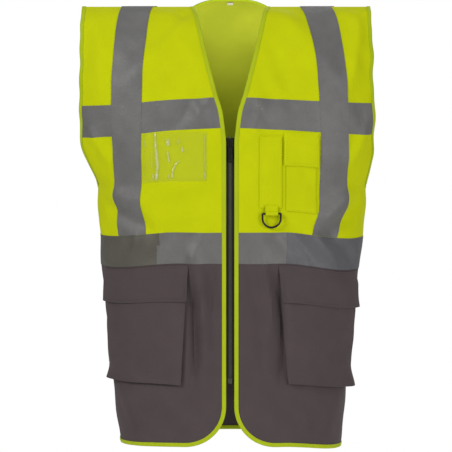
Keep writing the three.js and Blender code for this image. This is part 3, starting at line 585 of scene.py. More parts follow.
# pitch: thread spacing in mm, drawn coarser than the real cloth's so that it shows
# twill: how far the rows of thread are turned, in degrees
clothLooks = {
    # the dye glows and the knit scatters it: flat and bright, no shine
    "yellow": {"name": "warp-knit polyester, fluorescent yellow", "dark": "#c6d000", "light": "#e0ea00",
               "roughness": 0.82, "sheen": 0.08, "sheenTint": "#f2ff66", "twill": 0, "pitch": 1.3,
               "weftRatio": 1.0,
               "bump": 0.3, "specular": 0.15},
    # looser loops on the inner face: paler and duller, and set darker as painted shade for the vest's
    # inside
    "yellowInside": {"name": "warp-knit polyester wrong side, darkened as painted shade", "dark": "#adb52a", "light": "#c6cf38",
                     "roughness": 0.85, "sheen": 0.05, "sheenTint": "#f2ff66", "twill": 0, "pitch": 1.3,
                     "weftRatio": 1.0, "bump": 0.3, "specular": 0.1},
    # fine diagonal ribs, a faint sheen at the edges
    "grey": {"name": "polyester twill, grey", "dark": "#4a4042", "light": "#615557", "roughness": 0.86,
             "sheen": 0.12,
             "sheenTint": "#b8a8aa", "twill": 45, "pitch": 0.9, "weftRatio": 0.3, "bump": 0.22,
             "weave": 0.12},
    # tighter and smoother than the knit, so its fold catches a thin line of light
    "binding": {"name": "folded polyester tape, yellow", "dark": "#aebf08", "light": "#c9dc10",
                "roughness": 0.7,
                "sheen": 0.1, "sheenTint": "#e8ff80", "twill": 0, "pitch": 1.1, "weftRatio": 1.0,
                "bump": 0.4},
    # matt, near black, with a clear rib
    "zipTape": {"name": "knitted zip tape, black", "dark": "#1f1f1a", "light": "#33332c", "roughness": 0.8,
                "sheen": 0.1, "sheenTint": "#808078", "twill": 45, "pitch": 1.2, "weftRatio": 1.0,
                "bump": 0.5},
    # long floats of thread: smooth, with a soft shine
    "label": {"name": "woven satin, off-white", "dark": "#d8d0c0", "light": "#efe9dc", "roughness": 0.5,
              "sheen": 0.2,
              "sheenTint": "#ffffff", "twill": 0, "pitch": 0.8, "weftRatio": 1.0, "bump": 0.2},
    # a pile of hooks and loops: coarse, fuzzy and quite without shine
    "grip": {"name": "hook and loop, dark grey", "dark": "#2c2829", "light": "#3d3839", "roughness": 0.95,
             "sheen": 0.3, "sheenTint": "#807878", "twill": 0, "pitch": 1.4, "weftRatio": 1.0, "bump": 0.9},
    "yellowGrip": {"name": "hook and loop, yellow", "dark": "#a4ae00", "light": "#bcc600",
                   "roughness": 0.95,
                   "sheen": 0.3, "sheenTint": "#f2ff66", "twill": 0, "pitch": 1.4, "weftRatio": 1.0,
                   "bump": 0.9},
}
# real tape is one material: its side runs are painted darker here, as they look turned from the light
tapeLooks = {
    "tape": {"name": "glass bead reflective tape", "dark": "#686766", "light": "#807f7e", "metal": 0.15},
    "tape_right": {"name": "glass bead reflective tape, right side run", "dark": "#56534a",
                   "light": "#6c6a5f",
                   "metal": 0.2},
    "tape_left": {"name": "glass bead reflective tape, left side run", "dark": "#5c5c60",
                  "light": "#727276",
                  "metal": 0.2},
}
plasticLooks = {
    # satin gloss, worn paler in places
    "acetal": {"name": "moulded acetal, black", "dark": "#34342e", "light": "#55554b", "rough": 0.34},
    # hard, small highlights on dark paint
    "slider": {"name": "die-cast zinc, black paint", "dark": "#1c1c1a", "light": "#33332f", "rough": 0.32,
               "metal": 0.6},
    # the glossiest black of the three
    "ring": {"name": "moulded acetal, gloss black", "dark": "#0e0e0c", "light": "#1e1e1a", "rough": 0.28},
}
# painted glare: the white and the alpha go together, from clear to nearly opaque white
filmLooks = {
    "film": {"name": "PVC film, clear, with painted glare streaks", "film": "#c9d060", "white": "#fdfde6", "clear": 0.07, "milky": 0.85},
}
# spun thread is matt, a shade darker than the cloth it holds
threadLooks = {
    "yellowThread": {"name": "spun polyester thread, yellow", "dark": "#aab400", "light": "#c3cd08",
                     "rough": 0.7},
    "greyThread": {"name": "spun polyester thread, grey", "dark": "#3a3335", "light": "#4a4244",
                   "rough": 0.7},
    "tapeThread": {"name": "spun polyester thread, silver grey", "dark": "#6a6a66", "light": "#80807c",
                   "rough": 0.6},
}
material = {}
for makeMaterial, looks in ((clothMaterial, clothLooks), (tapeMaterial, tapeLooks),
                            (plasticMaterial, plasticLooks),
                            (filmMaterial, filmLooks), (plasticMaterial, threadLooks)):
    material.update({key: makeMaterial(look) for key, look in looks.items()})
print("materials:", len(material))


def attach(piece, body, *nodes, slot=None, bends=False):
    if bends:
        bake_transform(piece)
    else:
        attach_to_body(piece, body)
    if nodes:
        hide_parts(*nodes)
    return piece


stitch = {"length": 2.7, "pitch": 4.2, "radius": 0.28, "rise": 0.1}
stitchRuns = {}


def sew(key, side, line, height):
    # notes a row of stitches along a line of pattern points, height above the draped cloth
    stitchRuns.setdefault(key, []).append((side, np.asarray(line, float), height))


def makeStitches(name, key, materialKey):
    points, faces = [], []
    for side, line, height in stitchRuns[key]:
        length = lengthAlong(line)
        starts = np.arange(1.5, length[-1] - stitch["length"] - 1, stitch["pitch"])
        spots = np.stack([starts, starts + stitch["length"] / 2, starts + stitch["length"]], -1)
        g, t = np.interp(spots, length, line[:, 0]), np.interp(spots, length, line[:, 1])
        lift = height(g, t) if callable(height) else np.full(g.shape, float(height))
        low = at(side, g, t, lift - 0.1)
        out = outward(side, g, t)
        along = low[:, 2] - low[:, 0]
        along /= np.linalg.norm(along, axis=-1, keepdims=True)
        across = np.cross(along, out[:, 1])
        r = stitch["radius"] * mm
        for i in range(len(starts)):
            base = len(points)
            middle = low[i, 1] + out[i, 1] * stitch["rise"] * mm
            ring = [middle + across[i] * r, middle + out[i, 1] * r, middle - across[i] * r,
                    middle - out[i, 1] * r * 0.6]
            points += [low[i, 0], *ring, low[i, 2]]
            ends = [(base + 1 + k, base + 1 + (k + 1) % 4) for k in range(4)]
            faces += [(base, a, b) for a, b in ends]
            faces += [(base + 5, b, a) for a, b in ends]
    return makeMesh(name, points, faces, material[materialKey], sharp=80)


cutInset = 1.5  # the cloth ends this far inside the bindings' outer edge
hands = (-1, 1)


def frontCut(t):
    t = np.asarray(t, float)
    rise = np.clip(worn["corner"] - t, 0, worn["corner"])
    corner = worn["frontEdge"] + worn["corner"] - np.sqrt(worn["corner"] ** 2 - rise ** 2)
    return np.where(t < worn["corner"], corner, smooth(neckAt, t))


def outerCut(side, t):
    return np.where(np.asarray(t) <= worn["underarm"], sideSeam(side, t) - 0.1, armhole(side, t) - 0.4)


def frontLine(hand):
    # the front's cut edge: along the hem, round the corner, up the zip and the neck
    arc = np.linspace(0, math.pi / 2, 15)[1:-1]
    reach = worn["corner"] + worn["frontEdge"]
    hem = [(g, cutInset) for g in steps(float(sideSeam("front", 1.5)) - 0.1, reach, 6)]
    corner = [(reach - worn["corner"] * math.sin(a),
               cutInset + (worn["corner"] - cutInset) * (1 - math.cos(a))) for a in arc]
    rise = [(float(frontCut(t)), t) for t in steps(worn["corner"], worn["shoulder"] - 0.8, 5)]
    return np.array([(hand * g, t) for g, t in hem + corner + rise])


def armLine(side, hand):
    heights = np.concatenate([[worn["underarm"] - 1],
                              worn["underarm"] + np.array([1, 4, 8, 12, 18, 24, 30]),
                              steps(worn["underarm"] + 38, worn["shoulder"] - 0.8, 6)])
    return np.stack([hand * outerCut(side, heights), heights], -1)


panel = {"thick": 0.6, "grid": 5.0}


def paintWrongSideShade(piece, innerPoints):
    # the knit's inner face is duller than its face side, and its darker tone is painted shade for the
    # vest's inside
    piece.data.materials.append(material["yellowInside"])
    for face in piece.data.polygons:
        if max(face.vertices) < innerPoints:
            face.material_index = 1


def suffix(hand):
    return f"_{sideName[hand]}" if hand else ""


def makePanels(side, hand, name, body):
    left = (lambda t: hand * frontCut(t)) if side == "front" else (lambda t: -outerCut("back", t))
    right = lambda t: (hand or 1) * outerCut(side, t)
    low = np.concatenate([[cutInset], [3, 6, 10, 15, 21, 28, 36, 45, 55],
                          steps(66, worn["seam"] - 0.1, panel["grid"])])
    high = np.concatenate([steps(worn["seam"] + 0.1, worn["underarm"], panel["grid"]),
                           worn["underarm"] + np.array([1, 4, 8, 12, 18, 24, 30]),
                           steps(worn["underarm"] + 35, worn["shoulder"] - 0.4, panel["grid"])])
    for part, heights, look in (("lower", low, "grey"), ("upper", high, "yellow")):
        g, t = patternGrid(heights, left, right, panel["grid"])
        piece = clothSlab(name.replace("SIDE", part), side, g, t, 0.0, panel["thick"], material[look])
        if part == "upper":
            paintWrongSideShade(piece, g.size)
        attach(piece, body, name.replace("SIDE", part) + suffix(hand), slot=f"{look}_polyester",
               bends=side == "front" and part == "upper")


makePanels("back", 0, "back_SIDE_panel", "back")
for hand in hands:
    makePanels("front", hand, "front_SIDE_panel", f"front_{sideName[hand]}")


def makeSeamAllowance(hand):
    # both cloths are overlocked together inside the side seam
    reach, t = np.meshgrid(steps(-7, 7, 1.4), steps(cutInset + 6, worn["underarm"] - 1, 5))
    g = hand * (sideSeam("back", t) + reach)
    name = f"side_seam_allowance_{sideName[hand]}"
    for part, rows in (("lower", t[:, 0] <= worn["seam"]), ("upper", t[:, 0] >= worn["seam"] - 5)):
        look = "grey" if part == "lower" else "yellow"
        piece = clothSlab(f"{name}_{part}", "back", g[rows], t[rows], -1.3, -0.5, material[look])
        attach(fixNormals(piece), "back", slot=f"{look}_polyester")


for hand in hands:
    makeSeamAllowance(hand)
print("panels done")


tapeLook = {"low": 0.8, "high": 1.15, "braceLow": 1.3, "braceHigh": 1.65, "grid": 5.0, "width": 50.0,
            "waistBottom": 296.0, "chestBottom": 517.0, "chestFall": 0.052, "stitchInset": 2.6,
            "edgeGap": 3.4,
            # how far from the centre line the waist tapes' painted shade begins
            "paintedShadeRun": {-1: 118.0, 1: 90.0}}
braceAt = {
    -1: [(346, 164), (400, 170), (560, 168), (680, 160), (758, 151)],
    1: [(346, 157), (400, 171), (500, 172), (600, 166), (700, 150), (758, 138)],
}
backBraceAt = [(346, 112), (560, 126), (758, 144)]


def levelGrid(low, start, end):
    # rows of a tape that runs round the body; low gives its lower edge by distance from the centre line
    rises = steps(0, tapeLook["width"], tapeLook["grid"])
    a = np.array([start(r) for r in rises])
    b = np.array([end(r) for r in rises])
    columns = int(math.ceil(np.max(np.abs(b - a)) / tapeLook["grid"]))
    g = a[:, None] + (b - a)[:, None] * np.linspace(0, 1, columns + 1)[None, :]
    return g, low(g) + rises[:, None]


def chestLow(g):
    return tapeLook["chestBottom"] - tapeLook["chestFall"] * np.abs(g)


def chestEnd(side, rise):
    end = float(armhole(side, tapeLook["chestBottom"]))
    for _ in range(4):
        end = float(armhole(side, chestLow(end) + rise)) - 4.6
    return end


def waistEnd(side, rise):
    return float(sideSeam(side, tapeLook["waistBottom"] + rise)) - 0.4


def waistLow(g):
    return np.full(g.shape, tapeLook["waistBottom"])


def tapeRows(key, side, g, t, height):
    # a row of stitches along each long edge
    inset = tapeLook["stitchInset"]
    for row, shift in ((0, inset), (-1, -inset)):
        sew(key, side, np.stack([g[row], t[row] + shift], -1), height)


def paintShadeOnSideRun(piece, limit, look):
    # the run beyond the limit gets a darker copy of the tape, as painted shade where it turns away from the
    # light
    piece.data.materials.append(material[look])
    place = piece.data.attributes["clothPlace"].data
    for face in piece.data.polygons:
        if abs(sum(place[i].vector[0] for i in face.vertices) / len(face.vertices)) > limit:
            face.material_index = 1


def makeLevelTape(node, side, body, low, start, end, bends, paintedShadeRun=None):
    g, t = levelGrid(low, start, end)
    piece = clothSlab(node, side, g, t, tapeLook["low"], tapeLook["high"], material["tape"])
    if paintedShadeRun:
        paintShadeOnSideRun(piece, *paintedShadeRun)
    attach(piece, body, node, slot="reflective_tape", bends=bends)
    tapeRows(f"tape {body} {bends}", side, g, t, tapeLook["high"])


def makeBrace(node, side, hand, body, stations, bends):
    heights = steps(346.4, worn["shoulder"] - 0.5, tapeLook["grid"])
    middle = lambda t: smooth(stations, t)
    half = tapeLook["width"] / 2
    g, t = patternGrid(heights, lambda t: hand * (middle(t) - half), lambda t: hand * (middle(t) + half),
                       tapeLook["grid"])
    place = np.stack([t, g, np.zeros(g.shape)], -1)
    piece = clothSlab(node, side, g, t, tapeLook["braceLow"], tapeLook["braceHigh"], material["tape"],
                      place)
    attach(piece, body, node, slot="reflective_tape", bends=bends)
    for shift in (-half + tapeLook["stitchInset"], half - tapeLook["stitchInset"]):
        sew(f"tape {body} {bends}", side, np.stack([hand * (middle(heights) + shift), heights], -1),
            tapeLook["braceHigh"])


makeLevelTape("back_waist_tape", "back", "back", waistLow, lambda rise: -waistEnd("back", rise),
              lambda rise: waistEnd("back", rise), False)
makeLevelTape("back_chest_tape", "back", "back", chestLow, lambda rise: -chestEnd("back", rise),
              lambda rise: chestEnd("back", rise), False)
for hand in hands:
    name, body = sideName[hand], f"front_{sideName[hand]}"
    # the waist tape's outer run gets a darker copy of the tape: painted shade
    makeLevelTape(f"waist_tape_{name}", "front", body, waistLow,
                  lambda rise: hand * (worn["frontEdge"] + tapeLook["edgeGap"]),
                  lambda rise: hand * waistEnd("front", rise), False,
                  (tapeLook["paintedShadeRun"][hand], f"tape_{name}"))
    makeLevelTape(f"chest_tape_{name}", "front", body, chestLow,
                  lambda rise: hand * (float(frontCut(tapeLook["chestBottom"] + rise))
                                       + tapeLook["edgeGap"]),
                  lambda rise: hand * chestEnd("front", rise), True)
    makeBrace(f"front_brace_tape_{name}", "front", hand, body, braceAt[hand], True)
    makeBrace(f"back_brace_tape_{name}", "back", hand, "back", backBraceAt, False)
print("reflective tape done")

bindingLook = {"reach": 5.2, "stitch": 3.7, "face": 1.5, "lining": -0.95}
# into the cloth, and above it: round the fold, with a leg on each face of the cloth
bindingFold = [(bindingLook["reach"], bindingLook["lining"]), (2.0, bindingLook["lining"] - 0.1),
               (-0.4, bindingLook["lining"] - 0.05), (-1.2, -0.45), (-1.5, 0.28),
               (-1.2, 1.0), (-0.4, bindingLook["face"] + 0.05), (2.0, bindingLook["face"] + 0.12),
               (bindingLook["reach"], bindingLook["face"]),
               (bindingLook["reach"] + 0.15, 1.15), (bindingLook["reach"], 0.8), (0.2, 0.78),
               (-0.1, 0.3), (0.2, -0.2), (bindingLook["reach"], -0.22)]


def makeBinding(node, side, line, inward, body, bends):
    points, place = alongLine(side, line, inward, bindingFold)
    vertices, faces = sweepClosed(list(points))
    piece = makeMesh(node, vertices, faces, material["binding"], place.reshape(-1, 3), sharp=50)
    attach(fixNormals(piece), body, node, slot="yellow_binding", bends=bends)
    sew(f"yellow {body} {bends}", side, line + intoCloth(line, inward) * bindingLook["stitch"],
        bindingLook["face"] + 0.08)


for hand in hands:
    name, body = sideName[hand], f"front_{sideName[hand]}"
    makeBinding(f"front_binding_{name}", "front", resample(frontLine(hand), 4.5), -hand, body, True)
    makeBinding(f"front_armhole_binding_{name}", "front", armLine("front", hand), hand, body, True)
    makeBinding(f"back_armhole_binding_{name}", "back", armLine("back", hand), hand, "back", False)
hemReach = float(sideSeam("back", cutInset)) - 0.2
makeBinding("back_hem_binding", "back", np.array([(g, cutInset) for g in steps(-hemReach, hemReach, 6)]),
            1, "back", False)
neckReach = worn["neckHalf"] - 1.0
makeBinding("back_neck_binding", "back",
            np.array([(g, worn["shoulder"] - 1.2) for g in steps(-neckReach, neckReach, 4)]), -1, "back",
            False)
print("bindings done")


def threeSides(left, right, low, high, inset, margin, step):
    # down one side, along the foot and up the other, inset from the edges
    line = [(left + inset, t) for t in steps(high, low + inset, step)]
    line += [(g, low + inset) for g in steps(left + inset + margin, right - inset - margin, step)]
    return np.array(line + [(right - inset, t) for t in steps(low + inset, high, step)])


def thickSheet(name, grid, thick, look, place, sharp=45):
    # a closed sheet on both sides of a grid of points, in metres
    across, up = np.gradient(grid, axis=1), np.gradient(grid, axis=0)
    normal = np.cross(across, up)
    normal /= np.linalg.norm(normal, axis=-1, keepdims=True) + 1e-12
    half = normal * thick * mm / 2
    rows, columns = grid.shape[:2]
    points = np.concatenate([(grid - half).reshape(-1, 3), (grid + half).reshape(-1, 3)])
    place = np.concatenate([place.reshape(-1, 3), place.reshape(-1, 3) + otherFace])
    return fixNormals(makeMesh(name, points, slabFaces(rows, columns, False), material[look], place, sharp))


# room: how far the front wall stands off at the foot, and mouthRoom at the mouth; sag: swell in the middle
# lean: how far the inner edge drifts outwards down to the foot
# footRise: how much higher the foot's outer end is; kick: how far its corner flares
pocketLook = {
    "lower_right": {"hand": -1, "inner": 70, "outer": 226, "bottom": 101, "mouth": 270, "room": 6,
                    "mouthRoom": 3,
                    "sag": 2.5, "lean": 9, "footRise": 13, "kick": 9, "look": "grey"},
    "lower_left": {"hand": 1, "inner": 80, "outer": 226, "bottom": 103, "mouth": 270, "room": 6,
                   "mouthRoom": 3,
                   "sag": 2.5, "lean": 13, "footRise": 2, "kick": 10, "look": "grey"},
    "phone": {"hand": 1, "inner": 90, "outer": 139.5, "bottom": 381, "mouth": 492, "room": 1.2,
              "mouthRoom": 1.0,
              "sag": 0.8, "lean": 0, "footRise": 0, "kick": 0, "look": "yellow"},
    "pen": {"hand": 1, "inner": 47, "outer": 83, "bottom": 386, "mouth": 502, "room": 0.8, "mouthRoom": 0.8,
            "sag": 0.5, "lean": 0, "footRise": 0, "kick": 0, "look": "yellow"},
}
# from a pocket's edge: how far in, and what share of the room; the gusset folds inwards
gusset = [(3.2, 0.02), (4.6, 0.35), (4.2, 0.6), (0.6, 0.86), (0.0, 0.95), (0.5, 1.0), (2.0, 1.02),
          (4.0, 1.0)]
pocketFolds = {
    "lower_right": [((-95, 250), (-80, 120), 9, 1.6), ((-200, 240), (-120, 130), 14, 2.0),
                    ((-215, 150), (-150, 112), 12, 1.4),
                    ((-88, 160), (-150, 250), 12, -1.2)],
    "lower_left": [((92, 250), (84, 120), 8, 1.6), ((206, 230), (150, 112), 15, 2.2),
                   ((120, 240), (110, 130), 13, -1.4),
                   ((210, 160), (170, 108), 10, 1.4)],
    "phone": [((100, 470), (128, 400), 8, 0.9), ((132, 460), (98, 390), 9, -0.7)],
    "pen": [((66, 500), (62, 395), 5, 0.7)],
}


def pocketPlace(key, g, t):
    # where a point of the square-cut pocket is sewn down
    look = pocketLook[key]
    u = np.clip((g - look["inner"]) / (look["outer"] - look["inner"]), 0, 1)
    down = np.clip((look["mouth"] - t) / (look["mouth"] - look["bottom"]), 0, 1)
    return look["hand"] * (g + look["lean"] * down * (1 - u)), t + look["footRise"] * down ** 2 * u


def pocketHeight(key, g, t):
    look = pocketLook[key]
    g, t = np.broadcast_arrays(np.asarray(g, float), np.asarray(t, float))
    u = np.clip((np.abs(g) - look["inner"]) / (look["outer"] - look["inner"]), 0, 1)
    v = np.clip((t - look["bottom"]) / (look["mouth"] - look["bottom"]), 0, 1)
    swell = look["sag"] * np.sin(math.pi * u) * np.sin(math.pi * v)
    height = 1.3 + look["room"] + (look["mouthRoom"] - look["room"]) * v + swell
    height = height + look["kick"] * smoothStep(np.abs(g), look["outer"] - 40,
                                                look["outer"]) * smoothStep(-t, -look["bottom"] - 38,
                                                                            -look["bottom"])
    for start, end, width, rise in pocketFolds[key]:
        s, across, _ = ridge(g, t, start, end)
        height = (height + rise * np.exp(-(across / width) ** 2)
                  * smoothStep(s, -0.2, 0.25) * smoothStep(-s, -1.2, -0.75))
    return height


def makePocket(key, node, body):
    look = pocketLook[key]
    hand = look["hand"]
    ins, shares = np.array([i for i, _ in gusset]), np.array([s for _, s in gusset])
    inside = steps(look["inner"] + 8, look["outer"] - 8, 5)
    gs = np.concatenate([look["inner"] + ins, inside, (look["outer"] - ins)[::-1]])
    gShare = np.concatenate([shares, np.ones(len(inside)), shares[::-1]])
    up = steps(look["bottom"] + 8, look["mouth"] - 3, 5)
    ts = np.concatenate([look["bottom"] + ins, up, [look["mouth"] - 1, look["mouth"]]])
    tShare = np.concatenate([shares, np.ones(len(up)), [1.0, 1.0]])
    g, t = pocketPlace(key, *np.meshgrid(gs, ts))
    share = np.minimum(gShare[None, :], tShare[:, None])
    h = 0.9 + (pocketHeight(key, g, t) - 0.9) * share
    piece = thickSheet(node, at("front", g, t, h), 0.7, look["look"], np.stack([g, t, h], -1))
    attach(piece, body, node, slot=f"{look['look']}_polyester")
    thread = "grey" if look["look"] == "grey" else "yellow"
    edge = threeSides(look["inner"], look["outer"], look["bottom"], look["mouth"] - 2, 2.2, 4, 5)
    line = np.stack(pocketPlace(key, *edge.T), -1)
    sew(f"{thread} {body} False", "front", line, lambda g, t: pocketHeight(key, g, t) + 0.35)
    hem = np.array([(hand * g, look["mouth"] - 9) for g in steps(look["inner"] + 4, look["outer"] - 4, 6)])
    sew(f"{thread} {body} False", "front", hem, lambda g, t: pocketHeight(key, g, t) + 0.35)


for hand in hands:
    makePocket(f"lower_{sideName[hand]}", f"lower_pocket_{sideName[hand]}", f"front_{sideName[hand]}")
makePocket("phone", "phone_pocket", "front_left")
makePocket("pen", "pen_pocket", "front_left")
print("pockets done")

# flare: how far the outer lower corner swings out; fall: drop of the lower edge towards the zip
flapLook = {
    "lower_right": {"inner": 68, "outer": 229, "bottom": 240, "top": 293, "fall": -5.0, "flare": 3.0,
                    "lean": 2, "lift": 2.5},
    "lower_left": {"inner": 78, "outer": 229, "bottom": 235, "top": 293, "fall": -1.0, "flare": 3.0,
                   "lean": 6, "lift": 3.5},
    "phone": {"inner": 86.5, "outer": 142.5, "bottom": 455, "top": 508.5, "fall": 0.0, "flare": 0.5,
              "lean": 0, "lift": 0.5},
}
flapStack = 2.4  # over the pocket: two grip strips, and room
flapRoot = 1.9  # where its top edge is sewn down


def flapHeight(key, g, t):
    look, pocket = flapLook[key], pocketLook[key]
    g, t = np.broadcast_arrays(np.asarray(g, float), np.asarray(t, float))
    share = smoothStep(look["top"] - t, 0, look["top"] - pocket["mouth"])
    over = pocketHeight(key, g, np.minimum(t, pocket["mouth"])) + flapStack
    u = np.clip((np.abs(g) - look["inner"]) / (look["outer"] - look["inner"]), 0, 1)
    v = np.clip((look["top"] - t) / (look["top"] - look["bottom"]), 0, 1)
    curl = look["lift"] * v ** 2 * (u ** 4 + 0.5 * (1 - u) ** 6) + 0.5 * np.sin(u * 9 + 1.0) * v
    return flapRoot + (over - flapRoot) * share + curl


def flapPlace(key, g, t):
    # where a point of the square-cut flap hangs
    look = flapLook[key]
    u = (g - look["inner"]) / (look["outer"] - look["inner"])
    v = (look["top"] - t) / (look["top"] - look["bottom"])
    spread = look["flare"] * (2 * u - 1) * (u > 0.5) + look["lean"] * (1 - u)
    return pocketLook[key]["hand"] * (g + spread * v), t + look["fall"] * v * (1 - u)


def makeFlap(key, node, body, under):
    look, hand = flapLook[key], pocketLook[key]["hand"]
    gs = np.concatenate([look["inner"] + np.array([0, 0.6, 1.5]),
                         steps(look["inner"] + 4, look["outer"] - 4, 4),
                         look["outer"] - np.array([1.5, 0.6, 0])])
    ts = np.concatenate([look["bottom"] + np.array([0, 0.6, 1.5]),
                         steps(look["bottom"] + 4, look["top"] - 3, 4),
                         look["top"] - np.array([1.5, 0.6, 0])])
    g, t = np.meshgrid(gs, ts)
    h = flapHeight(key, hand * g, t)
    rim = np.minimum(np.minimum(g - look["inner"], look["outer"] - g), t - look["bottom"])
    h = h - 0.5 * np.exp(-rim / 0.8) + 0.35 * np.exp(-((rim - 4.5) / 1.6) ** 2) * (t < look["top"] - 6)
    g, t = flapPlace(key, g, t)
    piece = thickSheet(node, at("front", g, t, h), 1.1, pocketLook[key]["look"], np.stack([g, t, h], -1))
    hinge = next(j for j in frame["joints"] if j["child"] == body)
    edge = Vector(hinge["pos_m"])
    edge.z = float(at("front", *flapPlace(key, (look["inner"] + look["outer"]) / 2, look["top"]), 0)[2])
    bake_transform(piece)
    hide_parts(node)
    threadKey = f"{pocketLook[key]['look']} flap {key}"
    for inset in (3.2, 5.2):
        line = threeSides(look["inner"], look["outer"], look["bottom"], look["top"] - 12, inset, 2, 4)
        moved = np.stack(flapPlace(key, *line.T), -1)
        sew(threadKey, "front", moved, lambda g, t: flapHeight(key, g, t) + 0.75)
    topRow = np.array([(hand * g, look["top"] - 3) for g in steps(look["inner"] + 3, look["outer"] - 3, 5)])
    sew(f"{pocketLook[key]['look']} {under} False", "front", topRow, lambda g,
        t: flapHeight(key, g, t) + 0.6)


def makeGrip(key, node, body, low, high, look):
    # a strip of hook or loop over the middle half of the pocket
    pocket, flap = pocketLook[key], flapLook[key]
    middle, half = (pocket["inner"] + pocket["outer"]) / 2, (pocket["outer"] - pocket["inner"]) / 4
    g, t = np.meshgrid(pocket["hand"] * steps(middle - half, middle + half, 3),
                       steps(flap["bottom"] + 5, flap["bottom"] + 21, 3))
    base = pocketHeight(key, g, t)
    piece = clothSlab(node, "front", g, t, base + low, base + high, material[look])
    attach(fixNormals(piece), body, node, slot="grip_strip")


for key, stem, name, look in (("lower_right", "lower", "right", "grip"),
                              ("lower_left", "lower", "left", "grip"),
                              ("phone", "phone", "left", "yellowGrip")):
    end = f"_{name}" if stem == "lower" else ""
    flapBody = f"pocket_flap_{name}" if stem == "lower" else "phone_flap_body"
    makeFlap(key, f"{stem}_flap{end}", flapBody, f"front_{name}")
    makeGrip(key, f"{stem}_pocket_loop_strip{end}", f"front_{name}", 0.4, 1.1, look)
    makeGrip(key, f"{stem}_flap_hook_strip{end}", flapBody, 1.35, 2.05, look)
print("flaps done")

windowLook = {"middle": -90.0, "width": 106.0, "low": 429.0, "height": 81.0, "stand": 1.6, "crease": 0.8}
# painted glare streaks, white highlights painted along raised creases: from (u, v), to (u, v) across and up
# the window, half width, strength
windowGlareStreaks = [
    ((0.21, 0.96), (0.22, 0.72), 0.013, 1.0), ((0.22, 0.72), (0.25, 0.3), 0.02, 0.8),
                 ((0.25, 0.3), (0.23, 0.07), 0.018, 1.0),
    ((0.4, 0.83), (0.41, 0.75), 0.022, 1.0), ((0.4, 0.6), (0.43, 0.38), 0.011, 0.8),
                 ((0.58, 0.42), (0.52, 0.34), 0.008, 0.9),
    ((0.52, 0.34), (0.48, 0.22), 0.01, 1.0), ((0.48, 0.22), (0.475, 0.08), 0.012, 1.0),
                 ((0.56, 0.82), (0.57, 0.77), 0.018, 0.5),
    ((0.62, 0.68), (0.63, 0.6), 0.014, 0.8), ((0.96, 0.92), (0.97, 0.2), 0.008, 0.5),
                 ((0.965, 0.16), (0.965, 0.07), 0.014, 0.7),
    ((0.18, 0.16), (0.18, 0.05), 0.011, 0.9), ((0.05, 0.86), (0.06, 0.72), 0.008, 0.5),
                 ((0.16, 0.6), (0.16, 0.3), 0.006, 0.4),
    ((0.42, 0.14), (0.42, 0.06), 0.007, 0.7),
]


def makeWindow():
    look = windowLook
    us, vs = steps(0, 1, 1 / 90), steps(0, 1, 1 / 64)
    u, v = np.meshgrid(us, vs)
    g = look["middle"] + (u - 0.5) * look["width"]
    t = look["low"] + v * look["height"]
    edge = np.minimum(np.minimum(u, 1 - u) * look["width"], v * look["height"])
    free = smoothStep(edge, 3, 16)
    ripple = np.sin(u * 11 - v * 4 + 1.0) * 0.5 + 0.2 * np.sin(u * 31 + v * 6)
    h = look["stand"] + 0.4 * free + look["crease"] * ripple * free + 0.8 * free * np.sin(math.pi * u)
    # painted glare: white highlight streaks on the film; the same lines are also raised a little as creases
    paintedGlare = np.zeros(u.shape)
    for (u0, v0), (u1, v1), width, strength in windowGlareStreaks:
        s = np.clip(((u - u0) * (u1 - u0) + (v - v0) * (v1 - v0)) / ((u1 - u0) ** 2 + (v1 - v0) ** 2), 0, 1)
        away = np.hypot(u - u0 - s * (u1 - u0), v - v0 - s * (v1 - v0))
        paintedGlare = np.maximum(paintedGlare, strength * np.exp(-(away / width) ** 2))
        h = h + look["crease"] * strength * np.exp(-(away / width / 1.6) ** 2)
    piece = thickSheet("id_window", at("front", g, t, h), 0.3, "film", np.stack([g, t, h], -1), 60)
    # the crease attribute carries the painted glare to the film's material
    both = np.concatenate([paintedGlare.ravel(), paintedGlare.ravel()]).astype(np.float32)
    piece.data.attributes.new("crease", "FLOAT", "POINT").data.foreach_set("value", both)
    attach(piece, "front_right", "id_window", slot="clear_film")
    left, right = look["middle"] - look["width"] / 2, look["middle"] + look["width"] / 2
    for inset in (2.0, 5.0):
        line = threeSides(left, right, look["low"], look["low"] + look["height"] - 1, inset, 3, 5)
        sew("yellow front_right False", "front", line, look["stand"] + 0.3)


makeWindow()

zipLook = {"bottom": 104.0, "top": 499.0, "middle": -3.2, "tapeInner": 1.6, "tapeOuter": 17.0, "tape": 0.7,
           "pitch": 2.8, "tooth": 1.45, "reach": 1.9, "root": 2.9, "thick": 2.4, "boxHeight": 8.5}
zipY = -worn["front"] - zipLook["middle"]


def zipZ(t):
    return float(smooth(heightAt, t)) - worn["hem"]


def makeZipTape(hand):
    name = sideName[hand]
    g, t = patternGrid(steps(zipLook["bottom"] - 1, zipLook["top"] + 2, 5),
                       always(hand * zipLook["tapeInner"]), always(hand * zipLook["tapeOuter"]), 3)
    cord = 0.35 * np.exp(-((np.abs(g) - 2.2) / 0.6) ** 2)
    grid = np.stack([g, np.full(g.shape, zipY) - cord, t - worn["hem"]], -1) * mm
    piece = thickSheet(f"zip_tape_{name}", grid, zipLook["tape"], "zipTape",
                       np.stack([g, t, np.zeros(g.shape)], -1))
    attach(piece, f"front_{name}", f"zip_tape_{name}", slot="zip_tape")


